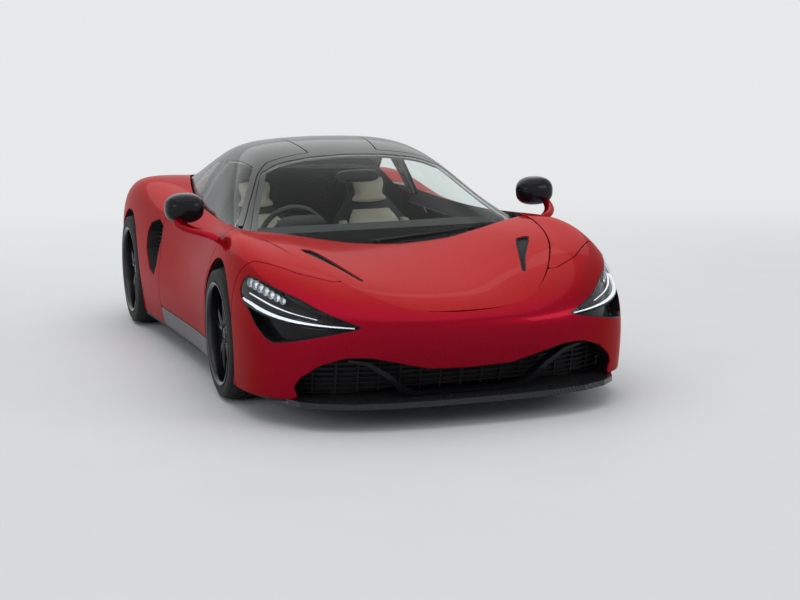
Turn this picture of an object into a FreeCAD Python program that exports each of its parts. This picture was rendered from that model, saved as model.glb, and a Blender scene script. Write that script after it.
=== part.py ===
import FreeCAD, Part
import os
from math import sin, cos, radians, hypot

V = FreeCAD.Vector
os.makedirs("parts", exist_ok=True)

# A mid-engined two-seat supercar with dihedral doors. Millimetres, X forward, Y to the left, Z up,
# origin on the floor below the middle of the car.

# Driving dimensions
LENGTH = 4543.0
WHEELBASE = 2670.0
FRONT_OVERHANG = 1080.0
FRONT_TRACK = 1674.0
REAR_TRACK = 1629.0
FRONT_TYRE_WIDTH = 245.0
REAR_TYRE_WIDTH = 305.0
FRONT_TYRE_RADIUS = 327.0
REAR_TYRE_RADIUS = 346.0
FRONT_RIM_RADIUS = 249.0
REAR_RIM_RADIUS = 262.0
ARCH_GAP = 38.0
SKIN = 22.0
PILLAR = 30.0
GLASS = 5.0
SHUT_GAP = 5.0
SEAT_GAP = 0.3

NOSE_X = LENGTH / 2
FRONT_AXLE = NOSE_X - FRONT_OVERHANG
REAR_AXLE = FRONT_AXLE - WHEELBASE

# The belt of the body, from the middle of the nose round the side to the middle of the tail.
# Each rib runs from the lower edge up to the inner edge, as control points of a smooth skin:
# hem, low, bulge, belt, brow, crest, inner, seam, each (x, y, z).
RIBS = [
    [(2150, 0, 115), (2180, 0, 200), (2208, 0, 290), (2228, 0, 370), (2230, 0, 430), (2222, 0, 468),
     (2205, 0, 492), (2175, 0, 510)],
    [(2150, 160, 115), (2180, 160, 200), (2208, 160, 290), (2228, 160, 370), (2230, 160, 430),
     (2222, 160, 468), (2205, 150, 492), (2175, 150, 510)],
    [(2140, 340, 115), (2168, 340, 200), (2196, 340, 290), (2217, 340, 370), (2221, 335, 435),
     (2209, 330, 478), (2182, 315, 508), (2145, 300, 532)],
    [(2105, 525, 115), (2132, 525, 200), (2158, 525, 290), (2180, 520, 370), (2185, 515, 450),
     (2160, 497, 512), (2105, 465, 560), (2030, 430, 595)],
    [(2040, 700, 115), (2067, 700, 200), (2090, 700, 290), (2110, 695, 375), (2113, 683, 475),
     (2080, 650, 560), (1990, 603, 620), (1830, 545, 660)],
    [(1940, 835, 115), (1960, 840, 200), (1975, 845, 290), (1985, 845, 390), (1972, 833, 520),
     (1920, 795, 625), (1805, 728, 690), (1610, 645, 730)],
    [(1790, 925, 115), (1800, 930, 200), (1805, 935, 300), (1800, 935, 420), (1775, 920, 570),
     (1720, 878, 685), (1612, 798, 748), (1400, 695, 768)],
    [(1600, 950, 115), (1600, 955, 200), (1595, 962, 320), (1575, 962, 470), (1535, 950, 630),
     (1480, 902, 752), (1400, 830, 795), (1230, 725, 790)],
    [(1300, 958, 115), (1300, 962, 220), (1300, 970, 360), (1290, 970, 520), (1265, 948, 680),
     (1220, 893, 803), (1170, 822, 828), (1070, 745, 808)],
    [(960, 925, 115), (950, 935, 240), (940, 948, 380), (920, 948, 530), (900, 930, 665), (880, 885, 775),
     (860, 822, 812), (820, 765, 812)],
    [(500, 900, 115), (500, 915, 240), (500, 930, 360), (500, 925, 500), (500, 900, 620), (500, 865, 725),
     (500, 815, 778), (500, 745, 798)],
    [(0, 905, 115), (0, 930, 240), (0, 945, 360), (0, 900, 500), (0, 875, 620), (0, 860, 725),
     (0, 800, 782), (0, 720, 802)],
    [(-500, 915, 120), (-500, 940, 240), (-500, 958, 380), (-500, 935, 520), (-500, 900, 640),
     (-500, 870, 755), (-500, 780, 812), (-500, 700, 825)],
    [(-950, 930, 120), (-950, 950, 250), (-950, 968, 400), (-950, 965, 550), (-950, 938, 690),
     (-950, 890, 815), (-950, 790, 872), (-950, 650, 872)],
    [(-1450, 945, 160), (-1450, 958, 260), (-1450, 970, 420), (-1450, 970, 590), (-1450, 950, 750),
     (-1450, 890, 895), (-1450, 780, 945), (-1450, 560, 915)],
    [(-1800, 925, 180), (-1800, 942, 280), (-1800, 955, 440), (-1800, 955, 600), (-1800, 938, 750),
     (-1800, 880, 885), (-1800, 760, 925), (-1800, 490, 905)],
    [(-2000, 865, 200), (-2030, 885, 300), (-2060, 900, 450), (-2070, 902, 600), (-2070, 885, 745),
     (-2030, 830, 865), (-1990, 720, 897), (-1930, 480, 895)],
    [(-2110, 720, 220), (-2150, 740, 320), (-2200, 760, 460), (-2220, 765, 600), (-2230, 755, 745),
     (-2200, 700, 852), (-2140, 600, 878), (-2000, 440, 890)],
    [(-2160, 440, 240), (-2200, 450, 340), (-2240, 460, 470), (-2262, 465, 600), (-2278, 460, 745),
     (-2250, 440, 850), (-2190, 400, 880), (-2030, 330, 892)],
    [(-2170, 200, 240), (-2210, 200, 340), (-2250, 200, 470), (-2270, 200, 600), (-2286, 200, 745),
     (-2256, 200, 850), (-2200, 180, 882), (-2040, 160, 893)],
    [(-2170, 0, 240), (-2210, 0, 340), (-2250, 0, 470), (-2270, 0, 600), (-2286, 0, 745), (-2256, 0, 850),
     (-2200, 0, 882), (-2040, 0, 893)],
]

# The bonnet, as rows from front to back: x, then z at each y of BONNET_Y.
BONNET_Y = (0, 160, 330, 480, 620, 780)
BONNET_ROWS = [
    (2220, (492, 490, 487, 480, 455, 410)),
    (2140, (530, 529, 532, 545, 540, 510)),
    (1980, (578, 577, 592, 618, 620, 600)),
    (1750, (625, 626, 645, 672, 690, 690)),
    (1500, (672, 674, 692, 722, 750, 765)),
    (1250, (712, 715, 732, 757, 780, 795)),
    (1000, (745, 748, 763, 783, 800, 812)),
    (750, (775, 778, 788, 798, 805, 815)),
]

# The canopy over the cabin and the engine, as half ribs from the windscreen's foot to the tail:
# middle, quarter, shoulder, rail, glass, foot, each (x, y, z).
CANOPY = [
    [(1170, 0, 715), (1150, 260, 722), (1080, 483, 738), (1000, 640, 765), (910, 732, 785),
     (845, 766, 776)],
    [(930, 0, 840), (900, 260, 844), (840, 475, 854), (770, 620, 848), (710, 720, 828), (680, 762, 780)],
    [(620, 0, 990), (600, 260, 990), (550, 460, 982), (500, 595, 950), (460, 690, 880), (450, 748, 780)],
    [(270, 0, 1118), (260, 250, 1115), (240, 435, 1104), (220, 560, 1062), (190, 662, 948),
     (180, 732, 780)],
    [(-100, 0, 1194), (-100, 240, 1191), (-100, 410, 1175), (-100, 520, 1125), (-100, 625, 990),
     (-100, 712, 785)],
    [(-450, 0, 1200), (-450, 235, 1197), (-450, 395, 1180), (-450, 500, 1130), (-450, 600, 1000),
     (-450, 695, 800)],
    [(-850, 0, 1172), (-850, 220, 1168), (-850, 365, 1148), (-850, 465, 1100), (-850, 560, 1005),
     (-850, 655, 850)],
    [(-1250, 0, 1105), (-1250, 205, 1100), (-1250, 335, 1080), (-1250, 425, 1045), (-1250, 510, 985),
     (-1250, 590, 885)],
    [(-1650, 0, 1020), (-1650, 185, 1016), (-1650, 300, 1000), (-1650, 385, 975), (-1650, 455, 945),
     (-1650, 520, 895)],
    [(-2010, 0, 905), (-2010, 160, 905), (-2000, 270, 902), (-1980, 350, 898), (-1960, 420, 892),
     (-1940, 465, 878)],
]


def knot_spans(count):
    """Clamped knots of a cubic curve with count control points, and their multiplicities."""
    spans = count - 3
    return [float(k) for k in range(spans + 1)], [4] + [1] * (spans - 1) + [4]


def smooth_skin(rows):
    """The cubic B-spline surface with these rows of control points."""
    (u_knots, u_mults), (v_knots, v_mults) = knot_spans(len(rows)), knot_spans(len(rows[0]))
    surface = Part.BSplineSurface()
    surface.buildFromPolesMultsKnots(rows, u_mults, v_mults, u_knots, v_knots, False, False, 3, 3)
    return surface


def inward(rows, depth):
    """The control points moved to this depth under the skin."""
    moved = []
    for i, row in enumerate(rows):
        line = []
        for j, p in enumerate(row):
            along = rows[min(i + 1, len(rows) - 1)][j] - rows[max(i - 1, 0)][j]
            across = row[min(j + 1, len(row) - 1)] - row[max(j - 1, 0)]
            step = along.cross(across).normalize() * depth
            if abs(p.y) < 0.001:
                step.y = 0.0
            line.append(p + step)
        moved.append(line)
    return moved


def closed_between(outer_rows, inner_rows):
    """The solid between two skins with the same number of control points."""
    outer, inner = smooth_skin(outer_rows), smooth_skin(inner_rows)
    u_end, v_end = float(len(outer_rows) - 3), float(len(outer_rows[0]) - 3)
    rims = [(s.uIso(0.0).toShape(), s.uIso(u_end).toShape(), s.vIso(0.0).toShape(), s.vIso(v_end).toShape())
            for s in (outer, inner)]
    walls = [Part.makeRuledSurface(a, b) for a, b in zip(*rims)]
    shell = Part.makeShell([outer.toShape(), inner.toShape()] + walls)
    shell.sewShape()
    solid = Part.makeSolid(Part.Shell(shell.Faces) if shell.ShapeType != "Shell" else shell)
    if solid.Volume < 0:
        solid.reverse()
    return solid


def vectors(rows):
    return [[V(*p) for p in row] for row in rows]


def mirror(shape):
    return shape.mirror(V(0, 0, 0), V(0, 1, 0))


def moved(rows, shifts):
    """The control points of each rib moved by one shift per column."""
    return [[p + V(*shift) for p, shift in zip(row, shifts)] for row in rows]


def prism(points, direction, length):
    """A prism of this closed outline, pushed along the direction."""
    face = Part.Face(Part.makePolygon(points + [points[0]]))
    return face.extrude(V(*direction) * length)


def plan_prism(outline, low=0.0, high=1400.0):
    """A prism seen from above: outline of (x, y)."""
    return prism([V(x, y, low) for x, y in outline], (0, 0, 1), high - low)


def side_prism(outline, low, high):
    """A prism seen from the side: outline of (x, z), from y = low to y = high."""
    return prism([V(x, low, z) for x, z in outline], (0, 1, 0), high - low)


def front_prism(outline, low, high):
    """A prism seen from the front: outline of (y, z), from x = low to x = high."""
    return prism([V(low, y, z) for y, z in outline], (1, 0, 0), high - low)


def corner_prism(outline, low=1800.0, high=3000.0):
    """A prism seen from the front corner: outline of (x - y, z), with x + y from low to high."""
    base = [V((low + s) / 2, (low - s) / 2, z) for s, z in outline]
    return prism(base, (0.5, 0.5, 0), high - low)


def pushed_prism(outline, direction, gap=0.0, reach=700.0):
    """A prism through points (x, y, z) of a skin, pushed both ways, its walls moved out by the gap."""
    way = V(*direction).normalize()
    first = V(1, 0, 0) - way * way.x
    first.normalize()
    second = way.cross(first)
    middle = sum(V(*p).dot(way) for p in outline) / len(outline)
    flat = grown([(V(*p).dot(first), V(*p).dot(second)) for p in outline], gap)
    base = [first * a + second * b + way * (middle - reach) for a, b in flat]
    return prism(base, way, 2 * reach)


def box(x0, x1, y0, y1, z0, z1):
    return Part.makeBox(x1 - x0, y1 - y0, z1 - z0, V(x0, y0, z0))


def wheel_cylinder(x, z, radius, y0, y1):
    return Part.makeCylinder(radius, y1 - y0, V(x, y0, z), V(0, 1, 0))


def whole(half):
    """Both halves of a piece that crosses the middle, as one solid."""
    return half.fuse(mirror(half)).removeSplitter()


def biggest(shape):
    """The largest solid of a cut."""
    return max(shape.Solids, key=lambda s: s.Volume)


def both(half):
    """Two separate solids, left and right."""
    return Part.makeCompound(half.Solids + mirror(half).Solids)


def grown(outline, gap):
    """The outline moved outward by the gap, with mitred corners."""
    count = len(outline)
    area = sum(outline[i - 1][0] * outline[i][1] - outline[i][0] * outline[i - 1][1] for i in range(count))
    turn = gap if area > 0 else -gap
    result = []
    for i, (x, y) in enumerate(outline):
        ax, ay = x - outline[i - 1][0], y - outline[i - 1][1]
        bx, by = outline[(i + 1) % count][0] - x, outline[(i + 1) % count][1] - y
        a, b = hypot(ax, ay), hypot(bx, by)
        n1, n2 = (ay / a, -ax / a), (by / b, -bx / b)
        scale = turn / (1 + n1[0] * n2[0] + n1[1] * n2[1])
        result.append((x + (n1[0] + n2[0]) * scale, y + (n1[1] + n2[1]) * scale))
    return result


# Cut lines
BOTTOM = 130.0              # top of the undertray, where the panels stand
SILL_TOP = 232.0            # top of the sills, under the doors
WAIST = 782.0               # where the roof's pillars stand on the tub
TAIL_CUT = -1960.0          # between the rear quarters and the tail
COVER_CUT = -950.0          # between the roof and the engine cover
FASCIA_BOTTOM = 380.0       # lower edge of the tail between the exhausts and the diffuser

# Between bumper and wing, seen from above (x, y)
BUMPER_AREA = [(1900, 400), (1890, 560), (1800, 690), (1600, 850), (1500, 1050), (2600, 1050), (2600, -10),
               (1900, -10)]
# The door's lower panel, (x, y, z) on its skin, and the way its walls run, which is how it opens
DOOR_AREA = [(905, 640, 900), (905, 765, 810), (960, 860, 800), (985, 905, 785), (975, 925, 735),
             (930, 942, 652),
             (845, 945, 525), (775, 943, 383), (752, 935, 295), (742, 930, 60), (-530, 940, 60), (-515,
                     945, 250),
             (-490, 955, 375), (-500, 935, 515), (-550, 920, 620), (-600, 870, 750), (-622, 800,
                     790), (-622, 640, 900)]
DOOR_WAY = (-0.36, 0.68, 0.64)
# The door's upper frame with its half of the roof, and the window in it, (x, y, z)
DOOR_TOP = [(862, 800, 740), (862, 760, 777), (800, 731, 795), (560, 636, 897), (300, 523, 1038),
            (205, 451, 1092),
            (150, 200, 1134), (-430, 230, 1188), (-520, 479, 1118), (-600, 621, 925), (-622, 677,
                    822), (-622, 800, 740)]
WINDOW = [(775, 800, 740), (775, 764, 777), (735, 751, 788), (540, 668, 878), (300, 566, 1012),
          (190, 520, 1066),
          (-420, 533, 1076), (-500, 573, 1015), (-550, 644, 891), (-570, 682, 816), (-570, 800, 740)]
DOOR_TOP_WAY = (0.05, 0.37, 0.93)
# The door's hinge axis runs from the roof's middle down to the front corner of the door
HINGE_HIGH = (230, 120, 1160)
HINGE_LOW = (983, 897, 778)
QUARTER_WINDOW = [(-680, 654, 862), (-655, 573, 996), (-620, 525, 1066), (-800, 527, 1034),
                  (-985, 562, 960),
                  (-1060, 598, 902), (-940, 634, 868)]
QUARTER_WINDOW_WAY = (0, 0.7, 0.7)
# The windscreen and the rear window, seen from above (x, y)
WINDSCREEN = [(1300, -20), (1300, 560), (960, 690), (880, 702), (610, 620), (315, 510), (262, 400),
              (225, 200), (215, -20)]
REAR_WINDOW = [(-640, -20), (-640, 180), (-700, 280), (-1180, 245), (-1210, 180), (-1210, -20)]
# The lamp's opening, (x - y, z)
LAMP = [(700, 600), (715, 645), (760, 668), (830, 664), (992, 637), (1235, 589), (1447, 530), (1640, 478),
        (1672, 466), (1640, 455), (1560, 443), (1420, 424), (1250, 402), (1090, 389), (1020, 405), (930,
                450),
        (830, 520), (730, 565)]
# The two light bars in it, (x - y, z)
LAMP_BARS = [[(735, 640), (765, 655), (830, 650), (990, 622), (1150, 590), (1150, 572), (985, 590),
              (830, 612), (745, 622)],
             [(745, 575), (800, 560), (960, 520), (1200, 490), (1600, 466), (1600, 460), (1200, 472),
              (950, 492), (790, 532)]]
# Half of the front intake, (y, z)
MOUTH = [(-20, 254), (200, 262), (360, 303), (470, 328), (575, 329), (680, 295), (755, 235), (779, 191),
         (765, 150), (752, 60), (-20, 60)]
# The strake on each side of it, (y, z)
STRAKE = [(-20, 146), (230, 150), (300, 180), (380, 250), (470, 306), (560, 322), (560, 310), (480, 290),
          (400, 235), (320, 158), (250, 132), (-20, 130)]
# The vent in the bonnet, seen from above (x, y)
VENT = [(1855, 392), (1862, 408), (1700, 470), (1520, 560), (1450, 590), (1425, 575), (1430, 530),
        (1500, 500), (1700, 440)]
# The tail's opening, (y, z)
TAIL_MOUTH = [(-20, 800), (420, 795), (640, 770), (730, 735), (720, 690), (640, 560), (560, 470),
              (400, 420), (-20, 415)]
# The light line along its upper edge, (y, z)
TAIL_LAMP = [(150, 797.9), (420, 794.7), (640, 769.7), (729, 734.6), (724.5, 716), (638, 752), (418, 778),
             (150, 782)]
# What the diffuser takes out of the tail, (y, z)
DIFFUSER_AREA = [(-20, 380), (520, 380), (600, 330), (650, 200), (650, 100), (-20, 100)]
DUCT_FRONT = -572.0         # front wall of the duct behind it, clear of the door
# The intake in the side behind the door, (x, z)
SIDE_INTAKE = [(-560, 640), (-590, 700), (-700, 730), (-840, 700), (-880, 640), (-860, 540), (-760, 430),
               (-640, 400), (-575, 470)]


BONNET_SKIN = 18.0
BELT = [row[::-1] for row in vectors(RIBS)]     # from the seam down, so that all skins face alike
BONNET = [[V(x, y, z) for y, z in zip(BONNET_Y, heights)] for x, heights in BONNET_ROWS]
TOP = vectors(CANOPY)


def belt_layer(near, far):
    """The belt's material between two depths under its outer face."""
    return closed_between(inward(BELT, near) if near else BELT, inward(BELT, far))


def bonnet_layer(near, far):
    return closed_between(inward(BONNET, near) if near else BONNET, inward(BONNET, far))


def canopy_layer(near, far):
    return closed_between(inward(TOP, near) if near else TOP, inward(TOP, far))


def canopy_core(outset):
    """All that lies below the canopy, down to the level of the wheels' tops."""
    outer = inward(TOP, -outset)
    for row in outer:
        row[0] = V(row[0].x, -5, row[0].z)
    return closed_between(outer, [[V(p.x, p.y, 560) for p in row] for row in outer])


def seam_prism(inset):
    """Inside the shut line between bonnet and wings, seen from above."""
    line = []
    seam = [row[0] for row in BELT[:10]]
    for i, p in enumerate(seam):
        along = seam[min(i + 1, 9)] - seam[max(i - 1, 0)]
        side = V(-along.y, along.x, 0).normalize()
        line.append(V(p.x, p.y, 0) + side * inset)
    line[0].y = 0.0
    curve = Part.BSplineCurve()
    knots, mults = knot_spans(len(line))
    curve.buildFromPolesMultsKnots(line, mults, knots, False, 3)
    end = line[-1]
    back = Part.makePolygon([end, V(700, end.y, 0), V(700, -10, 0), V(line[0].x, -10, 0), line[0]])
    face = Part.Face(Part.Wire(Part.sortEdges([curve.toShape()] + back.Edges)[0]))
    return face.extrude(V(0, 0, 1400))


def bonnet_room():
    """The space of the shut bonnet with its shut gap, kept free by its neighbours."""
    return bonnet_layer(-30, BONNET_SKIN + SHUT_GAP).common(seam_prism(0)).cut(plan_prism(scuttle_edge()))


# Lower skins
SKIN_LAYER = belt_layer(0, SKIN)
FRONT_ARCH = FRONT_TYRE_RADIUS + ARCH_GAP + 8
REAR_ARCH = REAR_TYRE_RADIUS + ARCH_GAP
FRONT_WELL = (FRONT_AXLE - FRONT_ARCH, FRONT_AXLE + FRONT_ARCH)
REAR_WELL = (REAR_AXLE - REAR_ARCH, REAR_AXLE + REAR_ARCH)
# Half of the undertray, seen from above (x, y)
HALF_FLOOR = [(2125, 0), (2115, 330), (2060, 560), (1990, 735), (1850, 860), (1640, 912),
              (FRONT_WELL[1], 912),
              (FRONT_WELL[1], 545), (FRONT_WELL[0], 545), (FRONT_WELL[0], 905), (760, 912), (500, 896), (0,
                      900),
              (-500, 910), (REAR_WELL[1], 930), (REAR_WELL[1], 610), (REAR_WELL[0], 610), (REAR_WELL[0],
                      560), (-1900, 0)]
LINER = 3.0


BONNET_HINGE = (1000, 798)      # x and z of the axis that its two rear pins share
# The bonnet's rear edge, seen from above (x, y)
BONNET_END = [(1190, -20), (1172, 260), (1105, 480), (1040, 620), (990, 715), (990, 900), (600, 900),
              (600, -20)]


def scuttle_edge():
    """Behind the bonnet's rear edge and its shut gap, seen from above."""
    return [(x - SHUT_GAP, y) for x, y in BONNET_END]


def front_bumper():
    half = SKIN_LAYER.common(plan_prism(BUMPER_AREA)).cut(box(1000, 2600, -20, 1100, 0, BOTTOM))
    half = half.cut(corner_prism(LAMP)).cut(front_prism(MOUTH, 1700, 2400)).cut(bonnet_room())
    half = biggest(half.cut(wheel_cylinder(FRONT_AXLE, FRONT_TYRE_RADIUS, FRONT_ARCH, 600, 1100)))
    return whole(half)


def wing():
    piece = SKIN_LAYER.cut(plan_prism(BUMPER_AREA)).common(box(700, 2200, 300, 1100, BOTTOM,
                                                               1000)).cut(bonnet_room())
    piece = piece.cut(pushed_prism(DOOR_AREA, DOOR_WAY, SHUT_GAP))
    piece = piece.cut(canopy_core(SEAT_GAP))
    piece = biggest(piece.cut(wheel_cylinder(FRONT_AXLE, FRONT_TYRE_RADIUS, FRONT_ARCH, 600, 1100)))
    return biggest(piece.fuse(bonnet_pin(5, 727, 764)))


def sill():
    lower = SKIN_LAYER.common(pushed_prism(DOOR_AREA, DOOR_WAY, SHUT_GAP)).common(box(-1200, 900, 500,
            1100, BOTTOM, SILL_TOP))
    return biggest(lower)


def bonnet_pin(radius, y0, y1):
    return Part.makeCylinder(radius, y1 - y0, V(BONNET_HINGE[0], y0, BONNET_HINGE[1]), V(0, 1, 0))


def swept_door_top(angles):
    """The room that the door's upper part needs at these first degrees of its travel."""
    room = canopy_layer(-4, 28.5).common(pushed_prism(DOOR_TOP, DOOR_TOP_WAY, 4.6))
    axis = V(*HINGE_LOW) - V(*HINGE_HIGH)
    return [room.copy().rotate(V(*HINGE_LOW), axis, angle) for angle in angles]


def quarter():
    piece = SKIN_LAYER.common(box(TAIL_CUT, 0, 300, 1100, BOTTOM, 1000))
    piece = piece.cut(pushed_prism(DOOR_AREA, DOOR_WAY, SHUT_GAP))
    piece = piece.cut(wheel_cylinder(REAR_AXLE, REAR_TYRE_RADIUS, REAR_ARCH, 600, 1100))
    piece = piece.cut(side_prism(SIDE_INTAKE, 800, 1100)).cut(box(TAIL_CUT, -1800, 300, 1100, 0, 215))
    piece = piece.cut(canopy_core(SEAT_GAP))
    for room in swept_door_top((0.25, 0.5, 0.75, 1, 1.25)):
        piece = biggest(piece.cut(room))
    return piece


def swept_air_brake(angles):
    """The room that the air brake needs at these first degrees of its travel."""
    room = belt_layer(-3, SKIN + 3).common(plan_prism(grown(WING_AREA, 3.5), 820, 1000))
    return [room.copy().rotate(V(*AIR_BRAKE_HINGE), V(0, 1, 0), angle) for angle in angles]


def rear_fascia():
    half = SKIN_LAYER.common(box(-2600, TAIL_CUT, -20, 1100, 215, 1000)).cut(front_prism(DIFFUSER_AREA,
            -2600, -1900))
    half = half.cut(front_prism(TAIL_MOUTH, -2600, -1990)).cut(canopy_core(SEAT_GAP))
    half = half.cut(plan_prism(grown(WING_AREA, SHUT_GAP), 820, 1000))
    for room in swept_air_brake((2, 4, 6, 8, 11)):
        half = biggest(half.cut(room))
    return whole(half)


AIR_BRAKE_HINGE = (-2030, 0, 897)
# The air brake across the tail, seen from above (x, y)
WING_AREA = [(-2060, -20), (-2062, 300), (-2040, 520), (-2075, 590), (-2190, 560), (-2225, 300),
             (-2230, -20)]


def air_brake():
    half = SKIN_LAYER.common(plan_prism(WING_AREA, 820, 1000))
    return whole(biggest(half))


def bonnet_lid():
    half = bonnet_layer(0, BONNET_SKIN).common(seam_prism(SHUT_GAP)).cut(plan_prism(BONNET_END))
    half = half.cut(bonnet_pin(5.3, 700, 800))
    return whole(biggest(half.cut(plan_prism(VENT))))


def bonnet_vent():
    rim = bonnet_layer(4, 18).common(plan_prism(VENT))
    return rim.cut(bonnet_layer(-5, 14).common(plan_prism(grown(VENT, -6))))


def scuttle():
    back = [(1250, -20), (1225, 260), (1155, 470), (1080, 600), (1000, 660), (900, 660), (960, 560),
            (1010, 400),
            (1040, 200), (1050, -20)]
    half = bonnet_layer(24, 44).common(plan_prism(back)).cut(canopy_core(SEAT_GAP))
    return whole(biggest(half))


DOOR_CORNER = 788.0        # ahead of this the door is a single skin
# How far the door's inner face lies from its outer face, (x, y, z) for each column of the ribs
DOOR_SHIFTS = [(0, -62, -70), (0, -65, -75), (0, -75, -60), (0, -85, -20), (0, -85, 0), (0, -85, 0),
               (0, -78, 0), (0, -70, 0)]


def door_panel():
    thick = closed_between(BELT, moved(BELT, DOOR_SHIFTS))
    piece = thick.common(pushed_prism(DOOR_AREA, DOOR_WAY)).common(box(-900, 1100, 500, 1100,
                                                                       SILL_TOP + SHUT_GAP, 1000))
    piece = piece.cut(wheel_cylinder(FRONT_AXLE, FRONT_TYRE_RADIUS, FRONT_ARCH + 28, 600, 1100))
    corner = SKIN_LAYER.common(piece).common(box(DOOR_CORNER, 1100, 500, 1100, 0,
                                                 1000)).cut(canopy_core(SHUT_GAP))
    main = piece.cut(box(DOOR_CORNER, 1100, 500, 1100, 0, 1000))
    main = main.cut(canopy_layer(-SEAT_GAP, GLASS + SEAT_GAP)).cut(canopy_core(-GLASS))
    return biggest(biggest(main).fuse(biggest(corner)).removeSplitter())


def door_frame():
    piece = canopy_layer(0, 24).common(pushed_prism(DOOR_TOP, DOOR_TOP_WAY)).cut(pushed_prism(WINDOW,
            DOOR_TOP_WAY))
    return biggest(piece.cut(box(-900, 1100, 0, 1000, 0, WAIST + 24)))


def door_glass():
    return biggest(canopy_layer(0, GLASS).common(pushed_prism(WINDOW, DOOR_TOP_WAY)))


def roof_frame():
    half = canopy_layer(0, PILLAR).common(box(COVER_CUT, 1200, -10, 1100, WAIST, 1300))
    half = half.cut(plan_prism(WINDSCREEN)).cut(pushed_prism(DOOR_TOP, DOOR_TOP_WAY,
                                                             SHUT_GAP)).cut(plan_prism(REAR_WINDOW))
    half = biggest(half).cut(swept_door_top((1.5, 3, 5, 7.5, 10.5, 14)))
    return whole(biggest(half.cut(pushed_prism(QUARTER_WINDOW, QUARTER_WINDOW_WAY))))


def windscreen():
    return whole(biggest(canopy_layer(0, GLASS).common(plan_prism(WINDSCREEN))))


def rear_windows():
    back = whole(biggest(canopy_layer(0, GLASS).common(plan_prism(REAR_WINDOW))))
    side = biggest(canopy_layer(0, GLASS).common(pushed_prism(QUARTER_WINDOW, QUARTER_WINDOW_WAY)))
    return Part.makeCompound([back, side, mirror(side)])


def engine_cover():
    half = canopy_layer(0, PILLAR).common(box(-2100, COVER_CUT, -10, 1100, 500,
                                              1300)).cut(plan_prism(REAR_WINDOW))
    slots = [plan_prism([(x, -10), (x, 150), (x - 42, 165), (x - 42, -10)]) for x in (-1300, -1370, -1440,
            -1510, -1580, -1650)]
    half = half.cut(pushed_prism(QUARTER_WINDOW, QUARTER_WINDOW_WAY)).cut(Part.makeCompound(slots))
    return whole(biggest(half))


# Front details
def front_pocket(outline_prism, depth, wall):
    """A bowl behind an opening of the bumper: floor at the depth, sides inside the opening."""
    bowl = belt_layer(2, depth + wall).common(outline_prism(0.3))
    return bowl.cut(belt_layer(-8, depth).common(outline_prism(wall)))


def lamp_sockets():
    half = biggest(front_pocket(lambda inset: corner_prism(grown(LAMP, -inset)), 60, 5))
    return both(half)


def lamp_bars():
    layer = belt_layer(22, 59.7)
    inside = corner_prism(grown(LAMP, -6))
    bars = [biggest(layer.common(corner_prism(bar)).common(inside)) for bar in LAMP_BARS]
    return Part.makeCompound(bars + [mirror(bar) for bar in bars])


def splitter():
    edge = [(2271.5, 0), (2268, 200), (2250, 380), (2205, 560), (2130, 690), (2050, 765), (1960, 800),
            (1900, 800), (1900, 0)]
    half = plan_prism(edge, 104, BOTTOM - SEAT_GAP)
    half = half.cut(plan_prism(HALF_FLOOR, 100, 200))
    return whole(biggest(half))


def strakes():
    half = belt_layer(4, 70).common(front_prism(STRAKE, 1700, 2400))
    return whole(biggest(half))


def intake_grille():
    half = belt_layer(108, 120).common(front_prism(grown(MOUTH, 36), 1500, 2400))
    half = half.common(box(1500, 2400, -10, 900, BOTTOM, 400))
    holes = [box(1500, 2400, 8 + 96 * column, 96 + 96 * column, 146 + 24 * row, 164 + 24 * row)
             for column in range(8) for row in range(8)]
    return biggest(half.cut(Part.makeCompound(holes)))


# Rear details
def tail_grille():
    half = box(-2190, -2178, 0, 700, 390, 800).common(front_prism(grown(TAIL_MOUTH, -SEAT_GAP), -2600,
                                                                  -1990))
    return half.cut(Part.makeCylinder(53, 400, V(-2300, 115, 610), V(1, 0, 0)))


def chassis_floor():
    return whole(plan_prism(HALF_FLOOR, 112, BOTTOM))


def tub():
    pan = box(-750, 800, 0, 740, BOTTOM, 150)
    beam = box(-800, 800, 600, 800, BOTTOM, 330)
    pillar = box(796, FRONT_WELL[0], 640, 752, 300, WAIST)
    front = box(800, FRONT_WELL[0], 0, 700, BOTTOM, 640)
    back = front_prism([(0, 130), (700, 130), (700, 700), (600, 850), (430, 1040), (300, 1085), (0, 1110)],
                       -800, -770)
    half = pan.fuse([beam, pillar, front, back])
    return whole(half)


def wheel_well(x, tyre_radius, opening, inner_y):
    outer = opening - SEAT_GAP
    tube = wheel_cylinder(x, tyre_radius, outer, inner_y,
                          1000).cut(wheel_cylinder(x, tyre_radius, outer - LINER, inner_y, 1000))
    tube = tube.cut(box(x - 600, x + 600, 0, 1100, 0, BOTTOM + SEAT_GAP)).cut(OUTSIDE)
    return biggest(tube)


OUTSIDE = closed_between(inward(BELT, -160), inward(BELT, 3))


# Wheels
def tyre(x, track, width, radius, rim_radius):
    half = width / 2
    profile = [(rim_radius, -half + 12), (rim_radius + 12, -half), (rim_radius + 40, -half),
               (radius - 22, -half + 4),
               (radius - 6, -half + 16), (radius, -half + 34), (radius, half - 34), (radius - 6, half - 16),
               (radius - 22, half - 4), (rim_radius + 40, half), (rim_radius + 12, half), (rim_radius,
                       half - 12)]
    points = [V(x, track / 2 + y, radius + r) for r, y in profile]
    ring = Part.Face(Part.makePolygon(points + [points[0]])).revolve(V(x, 0, radius), V(0, 1, 0), 360)
    return ring


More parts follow.
